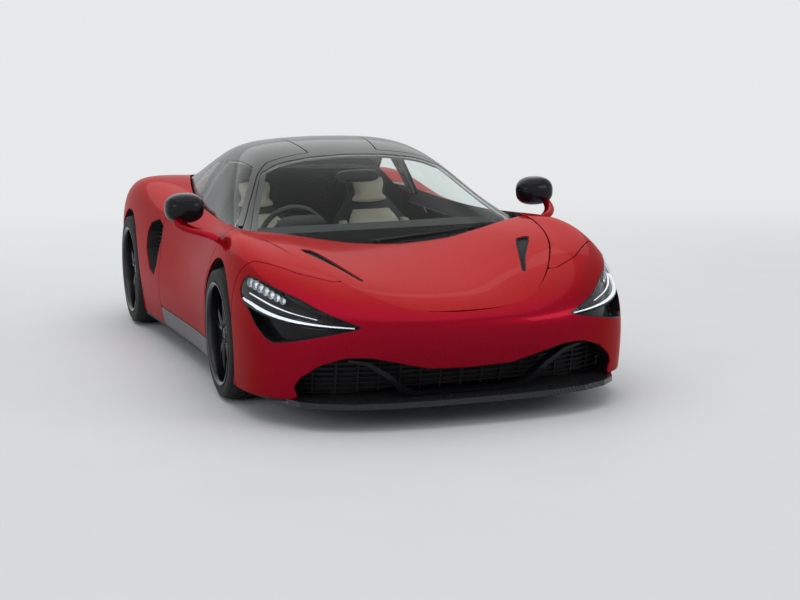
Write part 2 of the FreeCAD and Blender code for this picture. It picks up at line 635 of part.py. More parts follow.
def spoke_blade(x, z, face, rim_radius, lean):
    """One blade of a pair: broad at the hub, narrow and further in at the rim, leaning from its twin."""
    root = [(lean * 4 - 17, 62), (lean * 4 + 17, 62)]
    tip = [(lean * 52 + 10, rim_radius - 16), (lean * 52 - 10, rim_radius - 16)]
    front = [V(x + u, face - 10 if r < 100 else face - 22, z + r) for u, r in root + tip]
    back = [V(x + u, face - 40, z + r) for u, r in root + tip]
    return Part.makeLoft([Part.makePolygon(front + front[:1]), Part.makePolygon(back + back[:1])], True,
                         True)


def wheel(x, track, width, radius, rim_radius, disc_radius):
    half = width / 2
    middle, z = track / 2, radius
    face = middle + half - 34
    barrel = [(rim_radius - SEAT_GAP, -half + 10), (rim_radius + 8, -half + 4),
              (rim_radius + 8, -half - 1), (rim_radius - 8, -half - 1),
              (rim_radius - 16, -half + 14), (rim_radius - 16, half - 40), (rim_radius - 12,
                      half + 1), (rim_radius + 8, half + 1),
              (rim_radius + 8, half - 4), (rim_radius - SEAT_GAP, half - 10)]
    points = [V(x, middle + y, z + r) for r, y in barrel]
    rim = Part.Face(Part.makePolygon(points + [points[0]])).revolve(V(x, 0, z), V(0, 1, 0), 360)
    hub = wheel_cylinder(x, z, 78, middle + half - 96,
                         face - 6).cut(wheel_cylinder(x, z, 30.3, middle - half, face - 30))
    spokes = []
    for i in range(5):
        for lean in (-1, 1):
            spoke = spoke_blade(x, z, face, rim_radius, lean)
            spokes.append(spoke.rotate(V(x, 0, z), V(0, 1, 0), 72 * i))
    disc = wheel_cylinder(x, z, disc_radius, middle + half - 128, middle + half - 96)
    disc = disc.cut(wheel_cylinder(x, z, 30.3, middle - half, face))
    return biggest(rim.fuse([hub, disc] + spokes))


KINGPIN_Y = FRONT_TRACK / 2 - 57
FRONT_HUB = FRONT_TRACK / 2 + FRONT_TYRE_WIDTH / 2 - 134      # inner face of the disc, less its clearance
REAR_HUB = REAR_TRACK / 2 + REAR_TYRE_WIDTH / 2 - 134


def upright(x, z, face, reach, arm_y, disc_radius):
    """Carrier of one wheel: block, stub axle and brake caliper."""
    block = box(x - 45, x + 45, face - 45, face, z - reach + 16, z + reach - 16)
    stub = wheel_cylinder(x, z, 30, face - 5, face + 60)
    pins = [Part.makeCylinder(16, 20, V(x, arm_y, z + s)) for s in (-reach + 12, reach - 32)]
    pins.append(Part.makeCylinder(10, 2 * reach + 28, V(x, arm_y, z - reach - 14)))
    caliper = wheel_cylinder(x, z, disc_radius + 24, face - 26,
                             face + 58).cut(wheel_cylinder(x, z, disc_radius - 62, face - 30, face + 70))
    caliper = caliper.cut(wheel_cylinder(x, z, disc_radius + 6, face + 0.5,
                                         face + 43.5)).common(box(x - 300, x - 90, 0, 1100, z - 75, z + 75))
    arm = box(x - 150, x - 40, face - 26, face - 6, z - 40, z + 40)
    return block.fuse([stub, arm] + pins + [caliper])


def wishbones(x, z, reach, arm_y, pick_up, spread, bore=10.3):
    """Upper and lower arms of one side, from the chassis to the pin of the upright."""
    arms = []
    for side in (-1, 1):
        low = z + side * (reach + 9) - 9
        eye = Part.makeCylinder(22, 18, V(x, arm_y, low))
        legs = []
        for s in (-1, 1):
            leg = plan_prism([(x - 13, arm_y), (x + 13, arm_y), (x + s * spread + 13, pick_up),
                              (x + s * spread - 13, pick_up)], low, low + 18)
            legs.append(leg)
        arms.append(eye.fuse(legs).cut(Part.makeCylinder(bore, 60, V(x, arm_y, low - 20))))
    return arms


def subframe(x0, x1, inner, outer, low, high, posts, cross):
    """Two rails one above the other on each side, on the undertray, joined by posts and a cross member."""
    half = box(x0, x1, inner, outer, BOTTOM, BOTTOM + 50)
    upright_posts = [box(x - 20, x + 20, inner, outer, BOTTOM, high) for x in posts]
    bar = box(cross - 20, cross + 20, 0, outer, low, high)
    return whole(half.fuse([box(x0, x1, inner, outer, low, high), bar] + upright_posts))


def luggage_bin():
    outer = box(1230, 1830, 0, 395, BOTTOM, 540)
    return whole(outer.cut(box(1236, 1824, -5, 389, BOTTOM + 6, 600)))


def engine():
    return box(-1420, -830, -399.7, 399.7, BOTTOM, 690)


def side_duct():
    """The bowl behind the intake in the side, and the slats of the side radiator on its floor."""
    depth = 96
    wall = box(-1100, DUCT_FRONT, 500, 1100, 300, 900)
    bowl = belt_layer(5, depth + 6).common(side_prism(grown(SIDE_INTAKE, -SEAT_GAP), 700,
                                                      1100)).common(wall)
    room = side_prism(grown(SIDE_INTAKE, -5), 700,
                      1100).common(box(-1100, DUCT_FRONT - 5, 500, 1100, 300, 900))
    bowl = bowl.cut(belt_layer(-8, depth).common(room))
    slats = [box(-1000, -500, 700, 1100, z, z + 7) for z in range(440, 720, 24)]
    return biggest(bowl), [bar for bar in Part.makeCompound(slats).common(belt_layer(60,
            depth + 1)).common(room).Solids]


def radiators():
    bowl, slats = side_duct()
    return pair_of([box(1900.3, 1930, 330, 590, BOTTOM, 350), bowl.fuse(slats)])


def exhausts():
    tube = Part.makeCylinder(52, 230, V(-2262, 115, 610),
                             V(1, 0, 0)).cut(Part.makeCylinder(46, 200, V(-2270, 115, 610), V(1, 0, 0)))
    return both(tube)


def silencer():
    return box(-2120, -1900, -390, 390, 540, 700)


def diffuser():
    top = front_prism([(0, 372), (515, 372), (515, FASCIA_BOTTOM - SEAT_GAP),
                       (0, FASCIA_BOTTOM - SEAT_GAP)], -2200, -1950)
    ramp = side_prism([(-1900.3, 112), (-1900.3, 124), (-2230, 300), (-2230, 288)], 0, 515)
    blade = [(-1901, 116), (-2060, 134), (-2165, 186), (-2228, 330), (-2232, 366), (-2160, 378),
             (-1960, 378), (-1930, 150)]
    fins = [side_prism(blade, y, y + 9) for y in (40, 190, 350, 505)]
    return whole(ramp.fuse([top] + fins))


def tail_lamps():
    half = belt_layer(2, 22).common(front_prism(TAIL_LAMP, -2600, -1990))
    return both(biggest(half))


# Cabin
SEAT_Y = 350.0
# A seat seen from the front: half width against height, with its shoulders and the narrow head
SEAT_FRONT = [(200, 130), (205, 330), (232, 420), (236, 560), (214, 690), (150, 770), (112, 830),
              (118, 900), (96, 962)]


def seat_outline(inset):
    right = [(SEAT_Y + w - inset, z) for w, z in SEAT_FRONT]
    left = [(SEAT_Y - w + inset, z) for w, z in reversed(SEAT_FRONT)]
    return front_prism(right + left, -800, 400)


def seat_shells():
    profile = [(-330, 150), (200, 150), (200, 230), (-300, 200), (-400, 320), (-600, 950), (-635, 950),
               (-440, 290)]
    shell = side_prism(profile, SEAT_Y - 240, SEAT_Y + 240)
    wing = side_prism([(-392, 330), (-330, 330), (-330, 420), (-400, 640), (-490, 700), (-515, 700)],
                      SEAT_Y + 186, SEAT_Y + 240)
    wings = [wing, wing.mirror(V(0, SEAT_Y, 0), V(0, 1, 0))]
    return both(biggest(shell.fuse(wings).common(seat_outline(0))))


def seat_cushions():
    squab = side_prism([(-290, 201), (190, 229.8), (200, 330), (150, 345), (-250, 300)], SEAT_Y - 184,
                       SEAT_Y + 184)
    back = side_prism([(-402.6, 330), (-280, 320), (-400, 690), (-494, 760), (-538, 760)], SEAT_Y - 185.7,
                      SEAT_Y + 185.7)
    head = side_prism([(-538.2, 760.4), (-494, 760.4), (-508, 890), (-530, 945), (-597, 945)],
                      SEAT_Y - 240, SEAT_Y + 240)
    parts = [squab, back.common(seat_outline(6)), head.common(seat_outline(10))]
    return pair_of(parts)


def dashboard_top():
    return whole(side_prism([(799.7, 520), (799.7, 640.3), (890, 655), (890, 768), (760, 790), (560, 770),
                             (480, 700), (520, 600), (700, 500)], 0, 639.7))


def console():
    return side_prism([(-420, 150), (-420, 380), (-100, 430), (300, 480), (520, 640), (640, 540),
                       (700, 150)], -110, 110)


WHEEL_CENTRE = V(330, -350, 700)
WHEEL_TILT = 24.0


def steering_wheel():
    axis = V(-cos(radians(WHEEL_TILT)), 0, sin(radians(WHEEL_TILT)))
    ring = Part.makeTorus(170, 15, V(0, 0, 0), V(0, 0, 1))
    hub = Part.makeCylinder(55, 40, V(0, 0, -30))
    spokes = [box(-15, 15, 40, 162, -8, 8), box(-15, 15, -162, -40, -8, 8), box(-162, -40, -14, 14, -8, 8)]
    body = ring.fuse([hub] + spokes)
    body.Placement = FreeCAD.Placement(WHEEL_CENTRE, FreeCAD.Rotation(V(0, 0, 1), axis))
    return body


def steering_column():
    axis = V(-cos(radians(WHEEL_TILT)), 0, sin(radians(WHEEL_TILT)))
    return Part.makeCylinder(35, 190, WHEEL_CENTRE - axis * 30.3, axis * -1)


def mirror_unit():
    """Arm and housing of one door mirror."""
    rows = [((935, 878, 755), (34, 15)), ((900, 915, 785), (28, 14)), ((780, 975, 800), (28, 15)),
            ((670, 1020, 818), (30, 17)), ((600, 1020, 875), (26, 16))]
    wires = []
    for centre, (a, b) in rows:
        ring = Part.Ellipse(V(0, 0, 0), a, b).toShape()
        ring.Placement = FreeCAD.Placement(V(*centre), FreeCAD.Rotation(V(0, 0, 1), V(-0.8, 0.5, 0.25)))
        wires.append(Part.Wire(ring))
    arm = Part.makeLoft(wires, True)
    return arm


def mirror_housing():
    """The domed cap of a mirror, as rings from its nose to its flat back: x, half width, half height."""
    wires = []
    for x, a, b in ((648, 22, 16), (641, 62, 47), (618, 90, 70), (585, 103, 79), (548, 105, 79)):
        ring = Part.Ellipse(V(0, 0, 0), a, b).toShape()
        ring.Placement = FreeCAD.Placement(V(x, 978, 897),
                                           FreeCAD.Rotation(V(0, 1, 0), V(0, 0, 1), V(1, 0, 0)))
        wires.append(Part.Wire(ring))
    return Part.makeLoft(wires, True)


def wipers():
    arm = plan_prism([(1140, -120), (1150, -105), (1085, 300), (1010, 520), (1000, 515), (1070, 290)], 600,
                     900)
    return biggest(canopy_layer(-14, -0.3).common(arm))


def pair_of(shapes):
    """These solids and their mirror images, as one node."""
    solids = [s for shape in shapes for s in shape.Solids]
    return Part.makeCompound(solids + [mirror(s) for s in solids])


def mirror_left():
    inside = closed_between(inward(BELT, -SEAT_GAP), inward(BELT, 90))
    return biggest(biggest(mirror_unit().cut(inside)).fuse(mirror_housing()))


def wheel_wells():
    return pair_of([wheel_well(FRONT_AXLE, FRONT_TYRE_RADIUS, FRONT_ARCH, 545),
                    wheel_well(REAR_AXLE, REAR_TYRE_RADIUS, REAR_ARCH, 610)])


def suspension():
    rear_arms = wishbones(REAR_AXLE, REAR_TYRE_RADIUS, 152, REAR_HUB - 22, 455, 120, 9)
    rear = upright(REAR_AXLE, REAR_TYRE_RADIUS, REAR_HUB, 152, REAR_HUB - 22, 190).fuse(rear_arms)
    return pair_of(wishbones(FRONT_AXLE, FRONT_TYRE_RADIUS, 152, KINGPIN_Y, 455, 120) + [rear])


def subframes():
    front = subframe(830, 1900, 400, 455, 430, 490, (1060, 1320, 1880), 1880)
    rear = subframe(-1880, -810, 400, 455, 470, 530, (-1350, -1600, -1860), -1860)
    return Part.makeCompound([front, rear])


def glazing():
    return Part.makeCompound([windscreen()] + rear_windows().Solids)


def grilles():
    return Part.makeCompound(whole(intake_grille()).Solids + whole(tail_grille()).Solids)


def exhaust():
    return silencer().fuse(exhausts().Solids)


def lamps():
    return Part.makeCompound(lamp_bars().Solids + tail_lamps().Solids)


def dashboard():
    return dashboard_top().fuse([console(), steering_column()])


FIXED = {
    "front_bumper": front_bumper, "wings": lambda: pair_of([wing()]), "sills": lambda: both(sill()),
    "quarters": lambda: pair_of([quarter()]), "rear_fascia": rear_fascia, "scuttle": scuttle,
    "roof_frame": roof_frame, "glazing": glazing, "engine_cover": engine_cover, "lamp_sockets": lamp_sockets,
    "lamps": lamps, "splitter": splitter, "strakes": strakes, "grilles": grilles, "undertray": chassis_floor,
    "tub": tub, "engine": engine, "radiators": radiators, "exhaust": exhaust, "diffuser": diffuser,
    "seat_shells": seat_shells, "seat_cushions": seat_cushions, "dashboard": dashboard, "wipers": wipers,
    "luggage_bin": luggage_bin, "subframes": subframes, "wheel_wells": wheel_wells, "suspension": suspension,
}
MOVING = {
    "bonnet": bonnet_lid, "bonnet_vents": lambda: both(bonnet_vent()), "air_brake": air_brake,
    "steering_wheel": steering_wheel,
}
LEFT_AND_RIGHT = {
    "door": door_panel, "door_frame": door_frame, "door_glass": door_glass, "mirror": mirror_left,
    "front_tyre": lambda: tyre(FRONT_AXLE, FRONT_TRACK, FRONT_TYRE_WIDTH, FRONT_TYRE_RADIUS,
                               FRONT_RIM_RADIUS),
    "rear_tyre": lambda: tyre(REAR_AXLE, REAR_TRACK, REAR_TYRE_WIDTH, REAR_TYRE_RADIUS, REAR_RIM_RADIUS),
    "front_wheel": lambda: wheel(FRONT_AXLE, FRONT_TRACK, FRONT_TYRE_WIDTH, FRONT_TYRE_RADIUS,
                                 FRONT_RIM_RADIUS, 180),
    "rear_wheel": lambda: wheel(REAR_AXLE, REAR_TRACK, REAR_TYRE_WIDTH, REAR_TYRE_RADIUS, REAR_RIM_RADIUS,
                                190),
    "upright": lambda: upright(FRONT_AXLE, FRONT_TYRE_RADIUS, FRONT_HUB, 152, KINGPIN_Y, 180),
}


def build():
    for name, make in {**FIXED, **MOVING}.items():
        make().exportStep("parts/" + name + ".step")
    for name, make in LEFT_AND_RIGHT.items():
        shape = make()
        shape.exportStep("parts/" + name + "_left.step")
        mirror(shape).exportStep("parts/" + name + "_right.step")


if __name__ == "__main__":
    build()
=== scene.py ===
# %% [markdown]
# # A red two-seat supercar
# The CAD model fixes every size and every moving body. This notebook gives it its looks: the lacquered
# skin, glass, lamps, wheels and cabin. First the frame is loaded. Nothing that follows may be larger
# than that.

# %% Load the frame
from math import asin, cos, hypot, pi, radians, sin, sqrt

import bmesh
import bpy
import numpy as np
from mathutils import Matrix, Vector
from mathutils.bvhtree import BVHTree


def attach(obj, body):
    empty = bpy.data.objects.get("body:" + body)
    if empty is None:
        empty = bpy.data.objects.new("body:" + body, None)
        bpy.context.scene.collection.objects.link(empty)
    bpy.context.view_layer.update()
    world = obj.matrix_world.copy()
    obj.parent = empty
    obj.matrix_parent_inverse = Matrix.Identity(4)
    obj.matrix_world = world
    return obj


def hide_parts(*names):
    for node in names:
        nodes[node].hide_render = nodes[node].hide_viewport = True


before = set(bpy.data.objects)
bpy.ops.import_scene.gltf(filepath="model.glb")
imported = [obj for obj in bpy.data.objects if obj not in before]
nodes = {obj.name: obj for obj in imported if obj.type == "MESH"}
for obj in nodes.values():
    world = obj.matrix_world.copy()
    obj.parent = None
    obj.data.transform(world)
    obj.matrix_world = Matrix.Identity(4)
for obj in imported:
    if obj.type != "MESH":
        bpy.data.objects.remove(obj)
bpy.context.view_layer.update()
scene = bpy.context.scene

# %% [markdown]
# ## Shader maths as expressions
# A finish such as a weave or metal flakes is a small formula. Written as nodes and links it is hard to
# read, so a thin class wraps a socket and turns Python's operators into Math nodes. One method adds any
# other node.

# %% A socket that can be calculated with
class Value:
    """An output of a shader node, with the usual operators."""

    def __init__(self, finish, socket):
        self.finish = finish
        self.socket = socket

    def maths(self, operation, *values):
        return self.finish.node("ShaderNodeMath", {"operation": operation}, dict(enumerate(values)))

    def __add__(self, other):
        return self.maths("ADD", self, other)

    def __radd__(self, other):
        return self.maths("ADD", other, self)

    def __sub__(self, other):
        return self.maths("SUBTRACT", self, other)

    def __rsub__(self, other):
        return self.maths("SUBTRACT", other, self)

    def __mul__(self, other):
        return self.maths("MULTIPLY", self, other)

    def __rmul__(self, other):
        return self.maths("MULTIPLY", other, self)

    def __truediv__(self, other):
        return self.maths("DIVIDE", self, other)

    def __rtruediv__(self, other):
        return self.maths("DIVIDE", other, self)

    def __lt__(self, other):
        return self.maths("LESS_THAN", self, other)

    def fraction(self):
        return self.maths("FRACT", self)

    def floor(self):
        return self.maths("FLOOR", self)

    def sine(self):
        return self.maths("SINE", self)

    def root(self):
        return self.maths("SQRT", self)

    def or_more(self, other):
        """The larger of two values."""
        return self.maths("MAXIMUM", self, other)


print("Socket operators ready")

# %% [markdown]
# A finish is one material. Its surface is Blender's Principled shader, whose sockets stand for what a
# painter or a trimmer asks for: colour, roughness, metal and coat. The patterns used most, a soft noise
# and round cells, have a method each, so that every finish further on is only a few lines.

# %% A finish: one material and its nodes
class Finish:
    """A material whose surface is one Principled shader."""

    def __init__(self, name, **constants):
        self.material = bpy.data.materials.new(name)
        self.material.use_nodes = True
        self.tree = self.material.node_tree
        self.shader = self.tree.nodes["Principled BSDF"]
        self.set(**constants)

    def set(self, **values):
        """Gives sockets of the shader a number, a colour or a link: base_color=..., coat_weight=..."""
        for name, value in values.items():
            self.feed(self.shader.inputs[SHADER_SOCKETS.get(name, name.replace("_", " ").title())], value)
        return self

    def feed(self, socket, value):
        if isinstance(value, Value):
            self.tree.links.new(value.socket, socket)
        elif socket.type == "RGBA":
            socket.default_value = (*value, 1.0)
        else:
            socket.default_value = value

    def node(self, kind, settings, inputs, output=0):
        """Adds a node: its settings first, then the numbers or links of its sockets."""
        made = self.tree.nodes.new(kind)
        for name, value in settings.items():
            setattr(made, name, value)
        for name, value in inputs.items():
            self.feed(made.inputs[name], value)
        return Value(self, made.outputs[output])

    def place(self):
        """The point's place in the object, in metres. It stays on the surface when the piece moves."""
        return self.node("ShaderNodeTexCoord", {}, {}, "Object")

    def axes(self):
        point = self.place()
        return [self.node("ShaderNodeSeparateXYZ", {}, {"Vector": point}, axis) for axis in "XYZ"]

    def noise(self, scale, detail=2.0):
        return self.node("ShaderNodeTexNoise", {}, {"Vector": self.place(), "Scale": scale, "Detail": detail})

    def cells(self, scale, output="Distance"):
        return self.node("ShaderNodeTexVoronoi", {}, {"Vector": self.place(), "Scale": scale}, output)

    def between(self, low, high, amount):
        """A number that goes from low to high as amount goes from 0 to 1."""
        return self.node("ShaderNodeMapRange", {}, {"Value": amount, "To Min": low, "To Max": high})

    def blend(self, amount, first, second):
        """A colour that goes from the first to the second as amount goes from 0 to 1."""
        settings = {"data_type": "RGBA"}
        return self.node("ShaderNodeMix", settings, {0: amount, 6: first, 7: second}, 2)

    def bump(self, height, strength, depth):
        """Raises the surface by this height, from 0 to 1, times the depth in metres."""
        inputs = {"Height": height, "Strength": strength, "Distance": depth}
        return self.set(normal=self.node("ShaderNodeBump", {}, inputs))


SHADER_SOCKETS = {"ior": "IOR", "transmission": "Transmission Weight", "emission": "Emission Color",
                  "coat_ior": "Coat IOR", "specular": "Specular IOR Level"}
print("Shader sockets ready")

# %% [markdown]
# ## Paint and plastics
# The body wears a candy red: metal flakes under a deep tinted lacquer. It could be a red plastic with a
# strong coat, but that turns pale where one looks along a panel, as the camera does here. So the base is
# nearly all metal, whose edge tint is red too, small flakes make it lighter and darker, and only a thin
# sharp coat lies over it. The roof and the lamp sockets are black plastic with a stronger coat, and
# hidden parts are grained black plastic.

# %% Candy red, blacks and enamel
def candy_red():
    finish = Finish("candy_red", metallic=0.9, coat_weight=0.18, coat_roughness=0.01, coat_ior=1.38,
                    specular=0.05, specular_tint=(0.85, 0.05, 0.09))
    flakes = finish.cells(900.0, output="Color")
    glitter = finish.node("ShaderNodeSeparateColor", {}, {"Color": flakes}, 0)
    drift = finish.noise(3.0, 1.0)
    tone = glitter * 0.45 + drift * 0.3
    finish.set(base_color=finish.blend(tone, (0.20, 0.0005, 0.009), (0.37, 0.002, 0.020)))
    finish.set(roughness=finish.between(0.26, 0.38, glitter))
    return finish.material


def gloss_black():
    finish = Finish("gloss_black", coat_weight=0.42, coat_roughness=0.02, coat_ior=1.38, specular=0.05)
    speck = finish.noise(60.0, 3.0)
    finish.set(base_color=finish.blend(speck, (0.004, 0.004, 0.005), (0.011, 0.011, 0.013)))
    finish.set(roughness=finish.between(0.3, 0.4, speck))
    return finish.material


def satin_black():
    finish = Finish("satin_black", specular=0.22)
    grain = finish.cells(700.0)
    wear = finish.noise(14.0, 4.0)
    finish.set(base_color=finish.blend(wear, (0.010, 0.010, 0.011), (0.024, 0.024, 0.026)))
    finish.set(roughness=finish.between(0.48, 0.68, wear))
    return finish.bump(grain, 0.15, 0.0005).material


def enamel(name, dark, light):
    finish = Finish(name, coat_weight=0.8, coat_roughness=0.06)
    tone = finish.noise(30.0, 2.0)
    finish.set(base_color=finish.blend(tone, dark, light))
    finish.set(roughness=finish.between(0.3, 0.4, tone))
    return finish.material


red_paint = candy_red()
caliper_paint = enamel("caliper_paint", (0.045, 0.046, 0.05), (0.07, 0.07, 0.075))
black_gloss = gloss_black()
black_satin = satin_black()
print("Paints:", red_paint.name, black_gloss.name, black_satin.name)

# %% [markdown]
# ## Carbon, glass and metals
# Carbon cloth is a twill: each tow passes over two and under two, so the pattern steps sideways by one
# tow in each row. A picture of cloth would blur close by, so fractions of the place give the tows
# instead, and a comparison gives which one is on top. Glass is a faint grey-green that bends light only a
# little, as a thin pane does, and the metals share one recipe with a colour, a grain and a roughness of
# their own.

# %% Carbon twill, glass and metals
def carbon_twill(tow=0.004):
    finish = Finish("carbon_twill", coat_weight=0.35, coat_roughness=0.05, coat_ior=1.38, specular=0.2)
    x, y, z = finish.axes()
    across = (x + z) / tow
    along = (y - z * 0.4) / tow
    step = ((across.floor() + along.floor()) / 4).fraction()
    over = step < 0.49
    round_across = (across.fraction() * pi).sine()
    round_along = (along.fraction() * pi).sine()
    crown = over * round_across + (1 - over) * round_along
    finish.set(base_color=finish.blend(over, (0.010, 0.010, 0.011), (0.030, 0.031, 0.034)))
    finish.set(roughness=finish.between(0.35, 0.2, crown))
    return finish.bump(crown, 0.4, 0.0004).material


def clear_glass(name, colour, roughness=0.0, ior=1.45):
    finish = Finish(name, transmission=1.0, ior=ior)
    dust = finish.noise(9.0, 5.0)
    finish.set(base_color=finish.blend(dust, colour, tuple(c * 0.97 for c in colour)))
    finish.set(roughness=finish.between(roughness, roughness + 0.012, dust))
    return finish.material


def cast_metal(name, dark, light, grain, low=0.3, high=0.45):
    finish = Finish(name, metallic=1.0)
    rough = finish.noise(grain, 4.0)
    finish.set(base_color=finish.blend(rough, dark, light))
    finish.set(roughness=finish.between(low, high, rough))
    return finish.bump(rough, 0.2, 0.0008).material


carbon = carbon_twill()
window_glass = clear_glass("window_glass", (0.90, 0.95, 0.93), ior=1.07)
display_glass = gloss_black()
lens_glass = clear_glass("lens_glass", (0.97, 0.98, 0.98), ior=1.2)
cast_alloy = cast_metal("cast_alloy", (0.32, 0.33, 0.34), (0.55, 0.56, 0.58), 120.0)
dark_alloy = cast_metal("dark_alloy", (0.030, 0.030, 0.034), (0.060, 0.060, 0.066), 300.0, 0.18, 0.26)
steel_tube = cast_metal("steel_tube", (0.38, 0.35, 0.31), (0.60, 0.57, 0.52), 40.0, 0.2, 0.38)
mirror_silver = cast_metal("mirror_silver", (0.86, 0.87, 0.88), (0.93, 0.94, 0.95), 4.0, 0.0, 0.02)
lamp_silver = cast_metal("lamp_silver", (0.42, 0.44, 0.47), (0.62, 0.64, 0.68), 80.0, 0.14, 0.24)
disc_steel = cast_metal("disc_steel", (0.36, 0.35, 0.34), (0.52, 0.51, 0.50), 60.0, 0.28, 0.36)
print("Carbon, glass and metals ready")

# %% [markdown]
# ## Rubber, leather and light
# Rubber is dull, dusty and finely pitted. Leather is a field of small pebbles, which cells give, with
# patches where it is darker, and suede is a soft nap that scatters light at its edges. The lamps' light
# guides glow evenly, so their finish is an emission with a faint ribbing.

# %% Rubber, leather, suede and light guides
def tyre_rubber():
    finish = Finish("tyre_rubber", specular=0.25)
    dust = finish.noise(24.0, 5.0)
    finish.set(base_color=finish.blend(dust, (0.010, 0.010, 0.010), (0.028, 0.027, 0.026)))
    finish.set(roughness=finish.between(0.62, 0.85, dust))
    return finish.bump(finish.noise(500.0, 2.0), 0.3, 0.0006).material


def leather(name, dark, light, grain=420.0):
    finish = Finish(name, coat_weight=0.06, coat_roughness=0.35)
    pebbles = finish.cells(grain)
    patches = finish.noise(11.0, 4.0)
    finish.set(base_color=finish.blend(patches, dark, light))
    finish.set(roughness=finish.between(0.42, 0.62, pebbles))
    return finish.bump(pebbles, 0.5, 0.0009).material


def suede(name, dark, light):
    finish = Finish(name, sheen_weight=0.25, sheen_roughness=0.4, specular=0.15)
    nap = finish.noise(240.0, 6.0)
    finish.set(base_color=finish.blend(nap, dark, light))
    finish.set(roughness=finish.between(0.85, 0.98, nap))
    return finish.bump(nap, 0.15, 0.0008).material


def light_guide(name, colour, strength):
    finish = Finish(name, roughness=0.25, emission_strength=strength)
    x, y = finish.axes()[:2]
    ribs = ((x - y) * 700.0).sine() * 0.5 + 0.5
    finish.set(base_color=finish.blend(ribs, tuple(c * 0.8 for c in colour), colour))
    finish.set(emission=finish.blend(ribs, tuple(c * 0.85 for c in colour), colour))
    return finish.material


rubber = tyre_rubber()
cream_leather = leather("cream_leather", (0.52, 0.46, 0.36), (0.70, 0.64, 0.52))
black_leather = leather("black_leather", (0.016, 0.016, 0.017), (0.034, 0.033, 0.032))
black_suede = suede("black_suede", (0.008, 0.008, 0.009), (0.018, 0.018, 0.020))
pale_suede = suede("pale_suede", (0.50, 0.46, 0.39), (0.62, 0.58, 0.50))
white_light = light_guide("white_light", (0.86, 0.92, 1.0), 0.55)
red_light = light_guide("red_light", (0.9, 0.02, 0.02), 0.5)
print("Soft finishes and lights ready")

# %% [markdown]
# Most CAD solids are replaced further on by pieces with a finer surface. The others are plain on the real
# car too, or lie deep inside, so they stay as they are and only get a finish. A table from node to finish
# is the shortest way, and what it leaves out is gloss black.

# %% Finishes of the CAD nodes that stay
NODE_FINISH = {
    "scuttle": black_gloss, "splitter": carbon, "grilles": black_satin, "undertray": black_satin,
    "radiators": black_satin, "diffuser": carbon, "luggage_bin": black_suede, "tub": black_suede,
    "engine": cast_alloy, "subframes": cast_alloy, "suspension": cast_alloy, "upright_left": cast_alloy,
    "upright_right": cast_alloy, "exhaust": steel_tube, "bonnet_vents": black_suede,
    "lamp_sockets": black_gloss, "strakes": black_gloss, "dashboard": black_suede, "seat_shells": carbon,
}
for name, node in nodes.items():
    node.data.materials.clear()
    node.data.materials.append(NODE_FINISH.get(name, black_gloss))
print("Finishes given to", len(nodes), "CAD nodes")

# %% [markdown]
# ## The skins
# The body of such a car is pressed and laid up in large curved skins, which the shut lines divide into
# panels. A glossy panel shows every facet, so the painted panels aren't the CAD model's triangles. They
# are made again from the same control points, on an even grid of quads. There are three skins: the belt
# runs round the car from the middle of the nose to the middle of the tail, the lid covers the nose, and
# the canopy reaches over the cabin.

